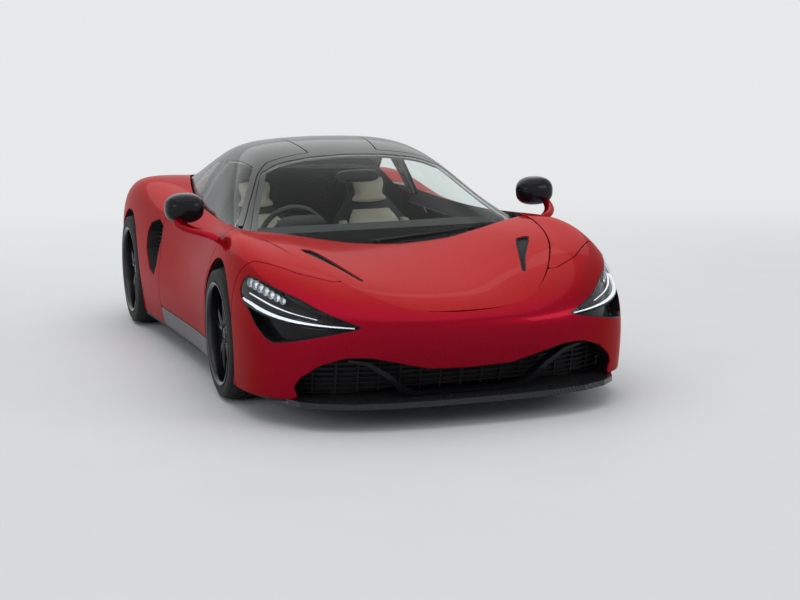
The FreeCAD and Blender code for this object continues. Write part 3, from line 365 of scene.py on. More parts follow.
# %% Control points of the body's skins, in millimetres
# The belt from the middle of the nose round the side to the middle of the tail, each rib from hem to seam.
RIBS = [
    [(2150, 0, 115), (2180, 0, 200), (2208, 0, 290), (2228, 0, 370),
     (2230, 0, 430), (2222, 0, 468), (2205, 0, 492), (2175, 0, 510)],
    [(2150, 160, 115), (2180, 160, 200), (2208, 160, 290), (2228, 160, 370),
     (2230, 160, 430), (2222, 160, 468), (2205, 150, 492), (2175, 150, 510)],
    [(2140, 340, 115), (2168, 340, 200), (2196, 340, 290), (2217, 340, 370),
     (2221, 335, 435), (2209, 330, 478), (2182, 315, 508), (2145, 300, 532)],
    [(2105, 525, 115), (2132, 525, 200), (2158, 525, 290), (2180, 520, 370),
     (2185, 515, 450), (2160, 497, 512), (2105, 465, 560), (2030, 430, 595)],
    [(2040, 700, 115), (2067, 700, 200), (2090, 700, 290), (2110, 695, 375),
     (2113, 683, 475), (2080, 650, 560), (1990, 603, 620), (1830, 545, 660)],
    [(1940, 835, 115), (1960, 840, 200), (1975, 845, 290), (1985, 845, 390),
     (1972, 833, 520), (1920, 795, 625), (1805, 728, 690), (1610, 645, 730)],
    [(1790, 925, 115), (1800, 930, 200), (1805, 935, 300), (1800, 935, 420),
     (1775, 920, 570), (1720, 878, 685), (1612, 798, 748), (1400, 695, 768)],
    [(1600, 950, 115), (1600, 955, 200), (1595, 962, 320), (1575, 962, 470),
     (1535, 950, 630), (1480, 902, 752), (1400, 830, 795), (1230, 725, 790)],
    [(1300, 958, 115), (1300, 962, 220), (1300, 970, 360), (1290, 970, 520),
     (1265, 948, 680), (1220, 893, 803), (1170, 822, 828), (1070, 745, 808)],
    [(960, 925, 115), (950, 935, 240), (940, 948, 380), (920, 948, 530),
     (900, 930, 665), (880, 885, 775), (860, 822, 812), (820, 765, 812)],
    [(500, 900, 115), (500, 915, 240), (500, 930, 360), (500, 925, 500),
     (500, 900, 620), (500, 865, 725), (500, 815, 778), (500, 745, 798)],
    [(0, 905, 115), (0, 930, 240), (0, 945, 360), (0, 900, 500),
     (0, 875, 620), (0, 860, 725), (0, 800, 782), (0, 720, 802)],
    [(-500, 915, 120), (-500, 940, 240), (-500, 958, 380), (-500, 935, 520),
     (-500, 900, 640), (-500, 870, 755), (-500, 780, 812), (-500, 700, 825)],
    [(-950, 930, 120), (-950, 950, 250), (-950, 968, 400), (-950, 965, 550),
     (-950, 938, 690), (-950, 890, 815), (-950, 790, 872), (-950, 650, 872)],
    [(-1450, 945, 160), (-1450, 958, 260), (-1450, 970, 420), (-1450, 970, 590),
     (-1450, 950, 750), (-1450, 890, 895), (-1450, 780, 945), (-1450, 560, 915)],
    [(-1800, 925, 180), (-1800, 942, 280), (-1800, 955, 440), (-1800, 955, 600),
     (-1800, 938, 750), (-1800, 880, 885), (-1800, 760, 925), (-1800, 490, 905)],
    [(-2000, 865, 200), (-2030, 885, 300), (-2060, 900, 450), (-2070, 902, 600),
     (-2070, 885, 745), (-2030, 830, 865), (-1990, 720, 897), (-1930, 480, 895)],
    [(-2110, 720, 220), (-2150, 740, 320), (-2200, 760, 460), (-2220, 765, 600),
     (-2230, 755, 745), (-2200, 700, 852), (-2140, 600, 878), (-2000, 440, 890)],
    [(-2160, 440, 240), (-2200, 450, 340), (-2240, 460, 470), (-2262, 465, 600),
     (-2278, 460, 745), (-2250, 440, 850), (-2190, 400, 880), (-2030, 330, 892)],
    [(-2170, 200, 240), (-2210, 200, 340), (-2250, 200, 470), (-2270, 200, 600),
     (-2286, 200, 745), (-2256, 200, 850), (-2200, 180, 882), (-2040, 160, 893)],
    [(-2170, 0, 240), (-2210, 0, 340), (-2250, 0, 470), (-2270, 0, 600),
     (-2286, 0, 745), (-2256, 0, 850), (-2200, 0, 882), (-2040, 0, 893)],
]

BONNET_Y = (0, 160, 330, 480, 620, 780)
BONNET_ROWS = [
    (2220, (492, 490, 487, 480, 455, 410)),
    (2140, (530, 529, 532, 545, 540, 510)),
    (1980, (578, 577, 592, 618, 620, 600)),
    (1750, (625, 626, 645, 672, 690, 690)),
    (1500, (672, 674, 692, 722, 750, 765)),
    (1250, (712, 715, 732, 757, 780, 795)),
    (1000, (745, 748, 763, 783, 800, 812)),
    (750, (775, 778, 788, 798, 805, 815)),
]

# The canopy's half ribs from the windscreen's foot to the tail.
CANOPY = [
    [(1170, 0, 715), (1150, 260, 722), (1080, 483, 738),
     (1000, 640, 765), (910, 732, 785), (845, 766, 776)],
    [(930, 0, 840), (900, 260, 844), (840, 475, 854),
     (770, 620, 848), (710, 720, 828), (680, 762, 780)],
    [(620, 0, 990), (600, 260, 990), (550, 460, 982),
     (500, 595, 950), (460, 690, 880), (450, 748, 780)],
    [(270, 0, 1118), (260, 250, 1115), (240, 435, 1104),
     (220, 560, 1062), (190, 662, 948), (180, 732, 780)],
    [(-100, 0, 1194), (-100, 240, 1191), (-100, 410, 1175),
     (-100, 520, 1125), (-100, 625, 990), (-100, 712, 785)],
    [(-450, 0, 1200), (-450, 235, 1197), (-450, 395, 1180),
     (-450, 500, 1130), (-450, 600, 1000), (-450, 695, 800)],
    [(-850, 0, 1172), (-850, 220, 1168), (-850, 365, 1148),
     (-850, 465, 1100), (-850, 560, 1005), (-850, 655, 850)],
    [(-1250, 0, 1105), (-1250, 205, 1100), (-1250, 335, 1080),
     (-1250, 425, 1045), (-1250, 510, 985), (-1250, 590, 885)],
    [(-1650, 0, 1020), (-1650, 185, 1016), (-1650, 300, 1000),
     (-1650, 385, 975), (-1650, 455, 945), (-1650, 520, 895)],
    [(-2010, 0, 905), (-2010, 160, 905), (-2000, 270, 902),
     (-1980, 350, 898), (-1960, 420, 892), (-1940, 465, 878)],
]
print("Ribs of belt, bonnet and canopy:", len(RIBS), len(BONNET_ROWS), len(CANOPY))

# %% [markdown]
# ## Where the panels are cut
# A designer draws each shut line in one view: the mouth from the front, the bonnet from above, the door
# along the way that it opens. The outlines are kept like that, as the corners of a line in its view,
# because a line pushed along its view cuts cleanly through any curved skin. Curved ends just have their
# corners closer together.

# %% Outlines of the panels, in millimetres
BUMPER_AREA = [(1900, 400), (1890, 560), (1800, 690), (1600, 850), (1500, 1050), (2600, 1050),
               (2600, -10), (1900, -10)]
DOOR_AREA = [(905, 640, 900), (905, 765, 810), (960, 860, 800), (985, 905, 785), (975, 925, 735),
             (930, 942, 652), (845, 945, 525), (775, 943, 383), (752, 935, 295), (742, 930, 60),
             (-530, 940, 60), (-515, 945, 250), (-490, 955, 375), (-500, 935, 515), (-550, 920, 620),
             (-600, 870, 750), (-622, 800, 790), (-622, 640, 900)]
DOOR_WAY = (-0.36, 0.68, 0.64)
DOOR_TOP = [(862, 800, 740), (862, 760, 777), (800, 731, 795), (560, 636, 897), (300, 523, 1038),
            (205, 451, 1092), (150, 200, 1134), (-430, 230, 1188), (-520, 479, 1118), (-600, 621, 925),
            (-622, 677, 822), (-622, 800, 740)]
WINDOW = [(775, 800, 740), (775, 764, 777), (735, 751, 788), (540, 668, 878), (300, 566, 1012),
          (190, 520, 1066), (-420, 533, 1076), (-500, 573, 1015), (-550, 644, 891), (-570, 682, 816),
          (-570, 800, 740)]
DOOR_TOP_WAY = (0.05, 0.37, 0.93)
QUARTER_WINDOW = [(-680, 654, 862), (-655, 573, 996), (-620, 525, 1066), (-800, 527, 1034),
                  (-985, 562, 960), (-1060, 598, 902), (-940, 634, 868)]
QUARTER_WINDOW_WAY = (0, 0.7, 0.7)
WINDSCREEN = [(1300, -200), (1300, 560), (960, 690), (880, 702), (610, 620), (315, 510), (262, 400),
              (225, 200), (215, -200)]
REAR_WINDOW = [(-640, -20), (-640, 180), (-700, 280), (-1180, 245), (-1210, 180), (-1210, -20)]
LAMP = [(700, 600), (715, 645), (760, 668), (830, 664), (992, 637), (1235, 589), (1447, 530), (1640, 478),
        (1672, 466), (1640, 455), (1560, 443), (1420, 424), (1250, 402), (1090, 389), (1020, 405),
        (930, 450), (830, 520), (730, 565)]
MOUTH = [(-20, 254), (200, 262), (360, 303), (470, 328), (575, 329), (680, 295), (755, 235), (779, 191),
         (765, 150), (752, 60), (-20, 60)]
# The light line along the tail's opening, (y, z)
TAIL_LAMP = [(150, 797.9), (420, 794.7), (640, 769.7), (729, 734.6), (724.5, 716), (638, 752), (418, 778),
             (150, 782)]
VENT = [(1855, 392), (1862, 408), (1700, 470), (1520, 560), (1450, 590), (1425, 575), (1430, 530),
        (1500, 500), (1700, 440)]
TAIL_MOUTH = [(-20, 800), (420, 795), (640, 770), (730, 735), (720, 690), (640, 560), (560, 470),
              (400, 420), (-20, 415)]
DIFFUSER_AREA = [(-20, 380), (520, 380), (600, 330), (650, 200), (650, 100), (-20, 100)]
SIDE_INTAKE = [(-560, 640), (-590, 700), (-700, 730), (-840, 700), (-880, 640), (-860, 540), (-760, 430),
               (-640, 400), (-575, 470)]
WING_AREA = [(-2060, -20), (-2062, 300), (-2040, 520), (-2075, 590), (-2190, 560), (-2225, 300),
             (-2230, -20)]
BONNET_END = [(1190, -20), (1172, 260), (1105, 480), (1040, 620), (990, 715), (990, 900), (600, 900),
              (600, -20)]
AXLE_FRONT, AXLE_REAR = 1191.5, -1478.5
RADIUS_FRONT, RADIUS_REAR = 327.0, 346.0
ARCH_FRONT, ARCH_REAR = 373.0, 384.0
SHUT_GAP = 5.0
BOTTOM, SILL_TOP, WAIST = 130.0, 232.0, 782.0
TAIL_HEM, BRAKE_HEM = 215.0, 820.0
TAIL_CUT, COVER_CUT = -1960.0, -950.0
print("Cut lines ready")

# %% [markdown]
# A skin is a B-spline: its control points pull a smooth sheet towards them. Blender has such surfaces,
# but they can't be asked for the point at given coordinates, which the cuts need. So the share that each
# control point has in a place is worked out here, and a point of the skin is the sum of the shares.

# %% The smooth skin through a table of control points
def spline_weights(count, places):
    """How much each of the control points counts at each place, for a clamped cubic B-spline."""
    spans = count - 3
    knots = np.concatenate([[0.0] * 3, np.arange(spans + 1.0), [spans] * 3])
    places = np.clip(np.asarray(places, float), 0, spans - 1e-9)
    weights = np.zeros((len(places), len(knots) - 1))
    weights[np.arange(len(places)), np.floor(places).astype(int) + 3] = 1.0
    for degree in (1, 2, 3):
        raised = np.zeros((len(places), len(knots) - 1 - degree))
        for i in range(len(knots) - 1 - degree):
            left = knots[i + degree] - knots[i]
            right = knots[i + degree + 1] - knots[i + 1]
            if left > 0:
                raised[:, i] += (places - knots[i]) / left * weights[:, i]
            if right > 0:
                raised[:, i] += (knots[i + degree + 1] - places) / right * weights[:, i + 1]
        weights = raised
    return weights


class Skin:
    """A smooth surface over a table of control points, counted along u and v."""

    def __init__(self, rows):
        self.poles = np.array(rows, float)
        self.spans = (len(rows) - 3, len(rows[0]) - 3)

    def under(self, depth):
        """The same skin at this depth below the outer face."""
        along = np.gradient(self.poles, axis=0)
        across = np.gradient(self.poles, axis=1)
        step = np.cross(along, across)
        step *= depth / np.linalg.norm(step, axis=2, keepdims=True)
        step[np.abs(self.poles[:, :, 1]) < 0.001, 1] = 0.0
        return Skin(self.poles + step)

    def grid(self, us, vs):
        """The points at every pair of a u and a v."""
        return np.einsum("ui,vj,ijk->uvk", spline_weights(len(self.poles), us),
                         spline_weights(self.poles.shape[1], vs), self.poles)

    def points(self, u, v):
        """The points at these pairs of u and v."""
        return np.einsum("ni,nj,ijk->nk", spline_weights(len(self.poles), u),
                         spline_weights(self.poles.shape[1], v), self.poles)


belt = Skin([rib[::-1] for rib in RIBS])
lid = Skin([[(x, y, z) for y, z in zip(BONNET_Y, heights)] for x, heights in BONNET_ROWS])
canopy = Skin(CANOPY)
print("Skins with spans:", belt.spans, lid.spans, canopy.spans)

# %% [markdown]
# A Boolean modifier could cut the panels, but it leaves long thin triangles that show in the gloss. Here
# each point gets a number instead: how far it lies inside an outline, and below zero outside. Several
# outlines are combined by taking the least of their numbers, and turning the sign cuts a hole.

# %% How far a point lies inside an outline
def inside(outline, flat):
    """Signed distance of flat points to an outline, above zero inside it."""
    flat = np.asarray(flat, float)
    shape = flat.shape[:-1]
    px, py = flat.reshape(-1, 2).T
    nearest = np.full(len(px), 1e9)
    within = np.zeros(len(px), bool)
    for (ax, ay), (bx, by) in zip(outline, outline[1:] + outline[:1]):
        dx, dy = bx - ax, by - ay
        t = np.clip(((px - ax) * dx + (py - ay) * dy) / (dx * dx + dy * dy), 0, 1)
        nearest = np.minimum(nearest, np.hypot(px - ax - t * dx, py - ay - t * dy))
        crosses = (ay > py) != (by > py)
        with np.errstate(divide="ignore", invalid="ignore"):
            within ^= crosses & (px < (bx - ax) * (py - ay) / (by - ay) + ax)
    return np.where(within, nearest, -nearest).reshape(shape)


def plan(outline):
    return lambda p: inside(outline, p[..., [0, 1]])


def front(outline):
    return lambda p: inside(outline, p[..., [1, 2]])


def side(outline):
    return lambda p: inside(outline, p[..., [0, 2]])


def corner(outline):
    """Seen from the front corner, where x - y is across."""
    return lambda p: inside(outline, np.stack([p[..., 0] - p[..., 1], p[..., 2]], -1))


def pushed(outline, way):
    """Seen along the way that a panel opens."""
    way = Vector(way).normalized()
    first = Vector((1, 0, 0)) - way * way.x
    first.normalize()
    view = np.array([first, way.cross(first)]).T
    flat = [tuple(np.array(point) @ view) for point in outline]
    return lambda p: inside(flat, p @ view)


def round_wheel(axle, height, radius):
    """Outside a wheel's arch."""
    return lambda p: np.hypot(p[..., 0] - axle, p[..., 2] - height) - radius


print("Outlines can be seen from above, ahead, the side, the corner and the way a door opens")

# %% [markdown]
# A panel of the belt ends where the canopy begins, so the height of one skin is needed at the points of
# another. A formula for that would be long. A search tree over a fine grid of faces answers it with one
# ray from above.

# %% Where a ray meets a skin
def search_tree(skin, u_end, v_end, rows, columns):
    """A tree of a skin's faces, from 0 to these u and v, which tells where a ray meets the skin."""
    grid = skin.grid(np.linspace(0, u_end, rows), np.linspace(0, v_end, columns))
    corners = [(i * columns + j, i * columns + j + 1, (i + 1) * columns + j + 1, (i + 1) * columns + j)
               for i in range(rows - 1) for j in range(columns - 1)]
    return BVHTree.FromPolygons([tuple(p) for p in grid.reshape(-1, 3)], corners)


def height_of(skin):
    """A function that gives a skin's height above the floor at x and y, or a low value beside it."""
    tree = search_tree(skin, *skin.spans, 160, 80)
    sky, beside, widest = 3000.0, -1e4, 800.0

    def height(p):
        flat = p.reshape(-1, 3)
        found = np.full(len(flat), beside)
        for i, (x, y, _) in enumerate(flat):
            place = tree.ray_cast(Vector((x, y, sky)), Vector((0, 0, -1)))[0] if y < widest else None
            if place is not None:
                found[i] = place.z
        return found.reshape(p.shape[:-1])
    return height


def seam_line():
    """The shut line between bonnet and wings, seen from above, closed over the middle."""
    edge = belt.grid(np.linspace(0, 9, 90), [0.0])[:, 0, :2]
    line = [tuple(point) for point in edge if point[0] > 900]
    return line + [(800, line[-1][1]), (800, -60), (2400, -60)]


canopy_height = height_of(canopy)
SEAM = seam_line()
print("Seam line with", len(SEAM), "points")

# %% [markdown]
# ## From a skin to a panel
# An even grid gives even reflections, but its points don't lie on the shut line. So each point next to
# the line slides along its grid line to where the number is zero, and two more steps bring it onto the
# line exactly. It moves by no more than about half a cell, which keeps the faces well shaped right up to
# the edge.

# %% Slide the grid's points onto the cut line
FURTHEST = 0.52
REACH = 45.0


def snapped_grid(skin, keep, step):
    """Points, numbers and u, v of a skin's grid, with the points next to the cut line moved onto it."""
    us, vs = np.linspace(0, skin.spans[0], 240), np.linspace(0, skin.spans[1], 60)
    near = keep(skin.grid(us, vs)) > -REACH
    us, vs = us[near.any(1)], vs[near.any(0)]
    middle = skin.grid(us, [vs.mean()])[:, 0]
    wide = skin.grid([us.mean()], vs)[0]
    lengths = [np.linalg.norm(np.diff(line, axis=0), axis=1).sum() for line in (middle, wide)]
    counts = [max(4, int(length / step) + 1) for length in lengths]
    ends = [(max(0, places[0] - 0.02), places[-1] + 0.02) for places in (us, vs)]
    us = np.clip(np.linspace(*ends[0], counts[0]), 0, skin.spans[0])
    vs = np.clip(np.linspace(*ends[1], counts[1]), 0, skin.spans[1])
    where = np.stack(np.meshgrid(us, vs, indexing="ij"), -1)
    value = keep(skin.grid(us, vs))
    target, best = where.copy(), np.full(value.shape, FURTHEST)
    slope, way = np.ones(value.shape), np.zeros(where.shape)
    for axis, direction in ((0, 1), (0, -1), (1, 1), (1, -1)):
        other = np.roll(value, -direction, axis)
        place = np.roll(where, -direction, axis)
        crossing = (value > 0) != (other > 0)
        last = -1 if direction > 0 else 0
        crossing[(last, slice(None)) if axis == 0 else (slice(None), last)] = False
        with np.errstate(divide="ignore", invalid="ignore"):
            share = np.where(crossing, value / (value - other), 1.0)
        better = crossing & (share < best)
        best = np.where(better, share, best)
        target = np.where(better[..., None], where + (place - where) * share[..., None], target)
        slope = np.where(better, value - other, slope)
        way = np.where(better[..., None], place - where, way)
    moved = best < FURTHEST
    for _ in range(2):
        error = keep(skin.points(*target.reshape(-1, 2).T).reshape(*value.shape, 3))
        best = np.where(moved, np.clip(best + error / slope, 0, 0.7), best)
        target = np.where(moved[..., None], where + way * best[..., None], target)
    value = np.where(moved, 0.0, value)
    points = skin.points(*target.reshape(-1, 2).T).reshape(*value.shape, 3)
    return points, value, target


print("Points within", REACH, "mm of a cut are looked at")

# %% [markdown]
# The faces that lie inside the line become a mesh. Points that came to lie on each other are welded,
# first on the rim, where a short edge would spoil the rounding. A door needs two sheets with walls
# between them, because its inner face isn't level with its outer one.

# %% Faces, closed shells and mesh objects
def faces_of(value, centre_value):
    """Quads and corner triangles whose points all lie inside or on the line."""
    count_u, count_v = value.shape
    number = np.arange(count_u * count_v).reshape(count_u, count_v)
    kept = []
    for i in range(count_u - 1):
        for j in range(count_v - 1):
            ring = [(i, j), (i + 1, j), (i + 1, j + 1), (i, j + 1)]
            good = [c for c in ring if value[c] >= 0]
            if len(good) < 3 or (all(value[c] == 0 for c in good) and centre_value[i, j] <= 0):
                continue
            kept.append([int(number[c]) for c in good])
    return kept


def trimmed(skin, keep, step=14.0):
    """Points in metres, faces, and the u and v of each point, of a panel cut out of a skin."""
    points, value, target = snapped_grid(skin, keep, step)
    centres = (points[:-1, :-1] + points[1:, :-1] + points[1:, 1:] + points[:-1, 1:]) / 4
    return points.reshape(-1, 3) / 1000, faces_of(value, keep(centres)), target.reshape(-1, 2)


def closed_shell(outer, inner, faces):
    """The solid between two sheets with the same faces: both sheets, and walls along their open edges."""
    count = len(outer)
    edges = {(a, b) for face in faces for a, b in zip(face, face[1:] + face[:1])}
    walls = [[b, a, a + count, b + count] for a, b in sorted(edges) if (b, a) not in edges]
    back = [[i + count for i in reversed(face)] for face in faces]
    return np.concatenate([outer, inner]), faces + back + walls


def mesh_object(name, points, faces, merge=0.0006, edge_merge=0.0):
    """A mesh object from points and faces, with loose points gone and near ones welded."""
    mesh = bpy.data.meshes.new(name)
    mesh.from_pydata([tuple(p) for p in points], [], faces)
    shape = bmesh.new()
    shape.from_mesh(mesh)
    bmesh.ops.delete(shape, geom=[v for v in shape.verts if not v.link_faces], context="VERTS")
    if edge_merge:
        rim = [v for v in shape.verts if v.is_boundary]
        bmesh.ops.remove_doubles(shape, verts=rim, dist=edge_merge)
    bmesh.ops.remove_doubles(shape, verts=shape.verts, dist=merge)
    bmesh.ops.dissolve_degenerate(shape, edges=shape.edges, dist=0.0003)
    bmesh.ops.recalc_face_normals(shape, faces=shape.faces)
    shape.to_mesh(mesh)
    shape.free()
    made = bpy.data.objects.new(name, mesh)
    scene.collection.objects.link(made)
    return made


print("Mesh makers ready")

# %% [markdown]
# A real panel is a few millimetres thick and its edges are hemmed round, which is what makes a shut line
# catch light. A Solidify and a Bevel modifier give both. The narrow faces of the rounding would bend the
# shading of the panel next to them, so the normals are weighted by the size of the faces.

# %% Modifiers, finish and body of a piece
def apply_modifiers(made):
    """Turns the modifiers into the mesh itself."""
    view = bpy.context.evaluated_depsgraph_get()
    mesh = bpy.data.meshes.new_from_object(made.evaluated_get(view))
    made.modifiers.clear()
    made.data = mesh
    return made


def finish_piece(made, body, finish, replaces=()):
    """Gives a piece its finish and its body, and hides the CAD nodes that it stands for."""
    made.data.materials.clear()
    made.data.materials.append(finish)
    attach(made, body)
    if replaces:
        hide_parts(*replaces)
    return made


def outward(made):
    """Turns the faces so that they look away from the car's middle line."""
    away = 0.0
    for face in made.data.polygons:
        middle = Vector((face.center.x * 0.8, 0, 0.3))
        away += face.normal.dot(face.center - middle) * face.area
    if away < 0:
        made.data.flip_normals()


# %% [markdown]
# The maker of panels puts these steps in a row. Points on the rim are welded when they lie closer than a
# small share of the grid's step. A panel that crosses the middle is joined with its mirror image before
# it is thickened, so that no seam shows there.

# %% From outline to finished panel
RIM_SHARE = 0.0003


def panel(name, skin, keep, body, finish, replaces=(), thick=0.012, step=14.0, mirror="",
          edge=0.0018, inner=None):
    """A panel on a skin. mirror: 'both' joins it with its mirror image, 'right' makes the right one. inner:
    its inner face, from u, v and the outer points, where that isn't level with the outer one."""
    points, faces, places = trimmed(skin, keep, step)
    if inner:
        points, faces = closed_shell(points, inner(places, points), faces)
    if mirror == "both":
        count = len(points)
        points = np.concatenate([points, points * (1, -1, 1)])
        faces = faces + [[count + i for i in reversed(face)] for face in faces]
    if mirror == "right":
        points = points * (1, -1, 1)
        faces = [face[::-1] for face in faces]
    made = mesh_object(name, points, faces, edge_merge=0.0 if inner else step * RIM_SHARE)
    if not inner:
        outward(made)
        solid = made.modifiers.new("thickness", "SOLIDIFY")
        solid.thickness = thick
        solid.offset = -1.0
        solid.use_even_offset = False
    round_edge = made.modifiers.new("edge", "BEVEL")
    round_edge.width = edge
    round_edge.segments = 2
    round_edge.angle_limit = radians(50)
    round_edge.use_clamp_overlap = False
    apply_modifiers(made)
    made.data.shade_smooth()
    made.data.set_sharp_from_angle(angle=radians(48))
    even = made.modifiers.new("even", "WEIGHTED_NORMAL")
    even.keep_sharp = True
    even.weight = 90
    apply_modifiers(made)
    finish_piece(made, body, finish, replaces)
    print(name, len(made.data.polygons), "faces")
    return made


print("Panel maker ready")

# %% [markdown]
# Each panel keeps the part of its skin that lies inside its own outline and outside its neighbours'
# outlines, with the shut gap between them. Small functions say this in short words, such as behind, above
# and no, so that a panel's edges can be read off one line.

# %% Words for cutting
def all_of(*tests):
    return lambda p: np.minimum.reduce([test(p) for test in tests])


def no(test, gap=0.0):
    """Outside a region and this gap round it."""
    return lambda p: -test(p) - gap


def above(height):
    return lambda p: p[..., 2] - height


def behind(x):
    return lambda p: x - p[..., 0]


def ahead(x):
    return lambda p: p[..., 0] - x


def over_canopy(p):
    return p[..., 2] - canopy_height(p)


def low_tail(p):
    """Above the hem of the tail, behind the rear wheels."""
    return np.maximum(p[..., 2] - TAIL_HEM, p[..., 0] + 1800)


print("The tail's hem is", TAIL_HEM, "mm above the floor")

# %% [markdown]
# With these words each panel is one sentence. A wing, for instance, lies outside the bumper's area, ahead
# of the door and above the hem, and ends at the wheel arch and where the canopy covers it.

# %% What each panel keeps of its skin
door_shape = pushed(DOOR_AREA, DOOR_WAY)
door_top_shape = pushed(DOOR_TOP, DOOR_TOP_WAY)
window_shape = pushed(WINDOW, DOOR_TOP_WAY)
quarter_window_shape = pushed(QUARTER_WINDOW, QUARTER_WINDOW_WAY)
front_arch = round_wheel(AXLE_FRONT, RADIUS_FRONT, ARCH_FRONT)
rear_arch = round_wheel(AXLE_REAR, RADIUS_REAR, ARCH_REAR)

FIXED_GAP = 4.0
FLUSH_GAP = 0.3
bumper_keep = all_of(plan(BUMPER_AREA), above(BOTTOM), no(corner(LAMP)), no(front(MOUTH)), front_arch)
wing_keep = all_of(no(plan(BUMPER_AREA), FIXED_GAP), ahead(700), above(BOTTOM), no(door_shape, SHUT_GAP),
                   front_arch, over_canopy)
door_keep = all_of(door_shape, above(SILL_TOP + SHUT_GAP), over_canopy,
                   round_wheel(AXLE_FRONT, RADIUS_FRONT, ARCH_FRONT + 28))
sill_keep = all_of(lambda p: door_shape(p) + SHUT_GAP, above(BOTTOM), lambda p: SILL_TOP - p[..., 2])
quarter_keep = all_of(ahead(TAIL_CUT + FLUSH_GAP), behind(0), above(BOTTOM), no(door_shape, SHUT_GAP),
                      rear_arch, no(side(SIDE_INTAKE)), low_tail, over_canopy)
tail_keep = all_of(behind(TAIL_CUT), above(TAIL_HEM), no(front(DIFFUSER_AREA)), no(front(TAIL_MOUTH)),
                   lambda p: np.maximum(-plan(WING_AREA)(p) - SHUT_GAP, BRAKE_HEM - p[..., 2]), over_canopy)
brake_keep = all_of(plan(WING_AREA), above(BRAKE_HEM))
lid_keep = all_of(lambda p: plan(SEAM)(p) - SHUT_GAP, no(plan(BONNET_END)), no(plan(VENT)))
roof_keep = all_of(ahead(COVER_CUT + FLUSH_GAP), above(WAIST), no(plan(WINDSCREEN)),
                   no(door_top_shape, SHUT_GAP), no(plan(REAR_WINDOW)), no(quarter_window_shape))
frame_keep = all_of(door_top_shape, no(window_shape), above(WAIST + 24))
slots = [no(plan([(x, -20), (x, 150), (x - 42, 165), (x - 42, -20)])) for x in range(-1300, -1651, -70)]
cover_keep = all_of(behind(COVER_CUT), no(plan(REAR_WINDOW)), no(quarter_window_shape), *slots)
print("Cooling slots in the cover:", len(slots))

# %% [markdown]
# A door is as thick as the real one: its inner face lies up to 85 mm further in, except at the front
# corner, where it is a single skin over the wheel. A plain thickness would close the cabin's side too
# early at the waist, so the inner face comes from the same control points, each moved by the shift of its
# row. Towards the cabin the door is trimmed in dark suede.

# %% The inner face of a door
DOOR_SHIFTS = [(0, -62, -70), (0, -65, -75), (0, -75, -60), (0, -85, -20), (0, -85, 0), (0, -85, 0),
               (0, -78, 0), (0, -70, 0)]
SINGLE_SKIN = 20.0
door_inside = Skin(belt.poles + np.array(DOOR_SHIFTS, float))
door_single = belt.under(SINGLE_SKIN)


def door_inner(places, points, proud=0.0):
    """The inner points of a door in metres, for these places on the belt."""
    share = np.clip((820 - points[:, 0] * 1000) / 80, 0, 1)
    share = (share * share * (3 - 2 * share))[:, None]
    deep = door_inside.points(*places.T)
    thin = door_single.points(*places.T)
    inner = thin * (1 - share) + deep * share
    inner[:, 1] -= proud
    return inner / 1000


def dark_inside(made, way):
    """Dark trim on the faces of a door that look into the cabin."""
    made.data.materials.append(black_suede)
    for face in made.data.polygons:
        face.material_index = int(face.normal.y * way < 0.05)


print("A door's inner face lies up to", -min(shift[1] for shift in DOOR_SHIFTS), "mm further in")

# %% [markdown]
# Now the painted panels are one call each. Those that a shut line in the middle doesn't divide are joined
# with their mirror image, and the others are made once for each hand. The finest grids go where the
# camera looks along a highlight: the wings and the bumper.

# %% The painted panels
HANDS = (("left", ""), ("right", "right"))
panel("bumper", belt, bumper_keep, "body", red_paint, ["front_bumper"], mirror="both", step=11.0)
for hand, mirror in HANDS:
    panel("wing_" + hand, belt, wing_keep, "body", red_paint, ["wings"], mirror=mirror,
          step=10.0)
    door = panel("door_skin_" + hand, belt, door_keep, "door_body_" + hand, red_paint,
                 ["door_" + hand], mirror=mirror, inner=door_inner)
    dark_inside(door, -1 if mirror else 1)
    panel("sill_" + hand, belt, sill_keep, "body", black_gloss, ["sills"], mirror=mirror)
    panel("quarter_" + hand, belt, quarter_keep, "body", red_paint, ["quarters"], mirror=mirror)
panel("tail", belt, tail_keep, "body", red_paint, ["rear_fascia"], mirror="both", step=13.0)
panel("bonnet_lid_skin", lid, lid_keep, "bonnet_lid", red_paint, ["bonnet"], mirror="both",
      step=13.0)

# %% [markdown]
# The roof, the cover over the engine and the air brake are black, and the doors' upper frames are cut out
# of the same canopy, so that they lie flush with it when shut. The panes are cut along the same lines as
# their openings and are thin sheets of the same skin, which keeps the whole cabin one smooth bubble.

# %% The black panels and the panes
SHELL, PANE, PANE_EDGE = 0.020, 0.004, 0.0005
for hand, mirror in HANDS:
    panel("door_top_" + hand, canopy, frame_keep, "door_body_" + hand, black_gloss,
          ["door_frame_" + hand], thick=SHELL, mirror=mirror, step=11.0)
    panel("door_window_" + hand, canopy, window_shape, "door_body_" + hand, window_glass,
          ["door_glass_" + hand], thick=PANE, mirror=mirror, step=16.0, edge=PANE_EDGE)
    panel("quarter_window_" + hand, canopy, quarter_window_shape, "body", window_glass,
          ["glazing"], thick=PANE, mirror=mirror, step=16.0, edge=PANE_EDGE)
panel("brake_flap", belt, brake_keep, "air_brake_flap", black_gloss, ["air_brake"],
      mirror="both")
panel("roof", canopy, roof_keep, "body", black_gloss, ["roof_frame"], thick=SHELL,
      mirror="both", step=12.0)
panel("cover", canopy, cover_keep, "body", black_gloss, ["engine_cover"], thick=SHELL,
      mirror="both", step=12.0)
for name, outline in (("windscreen", WINDSCREEN), ("rear_glass", REAR_WINDOW)):
    panel(name, canopy, plan(outline), "body", window_glass, mirror="both", thick=PANE, step=20.0,
          edge=PANE_EDGE)

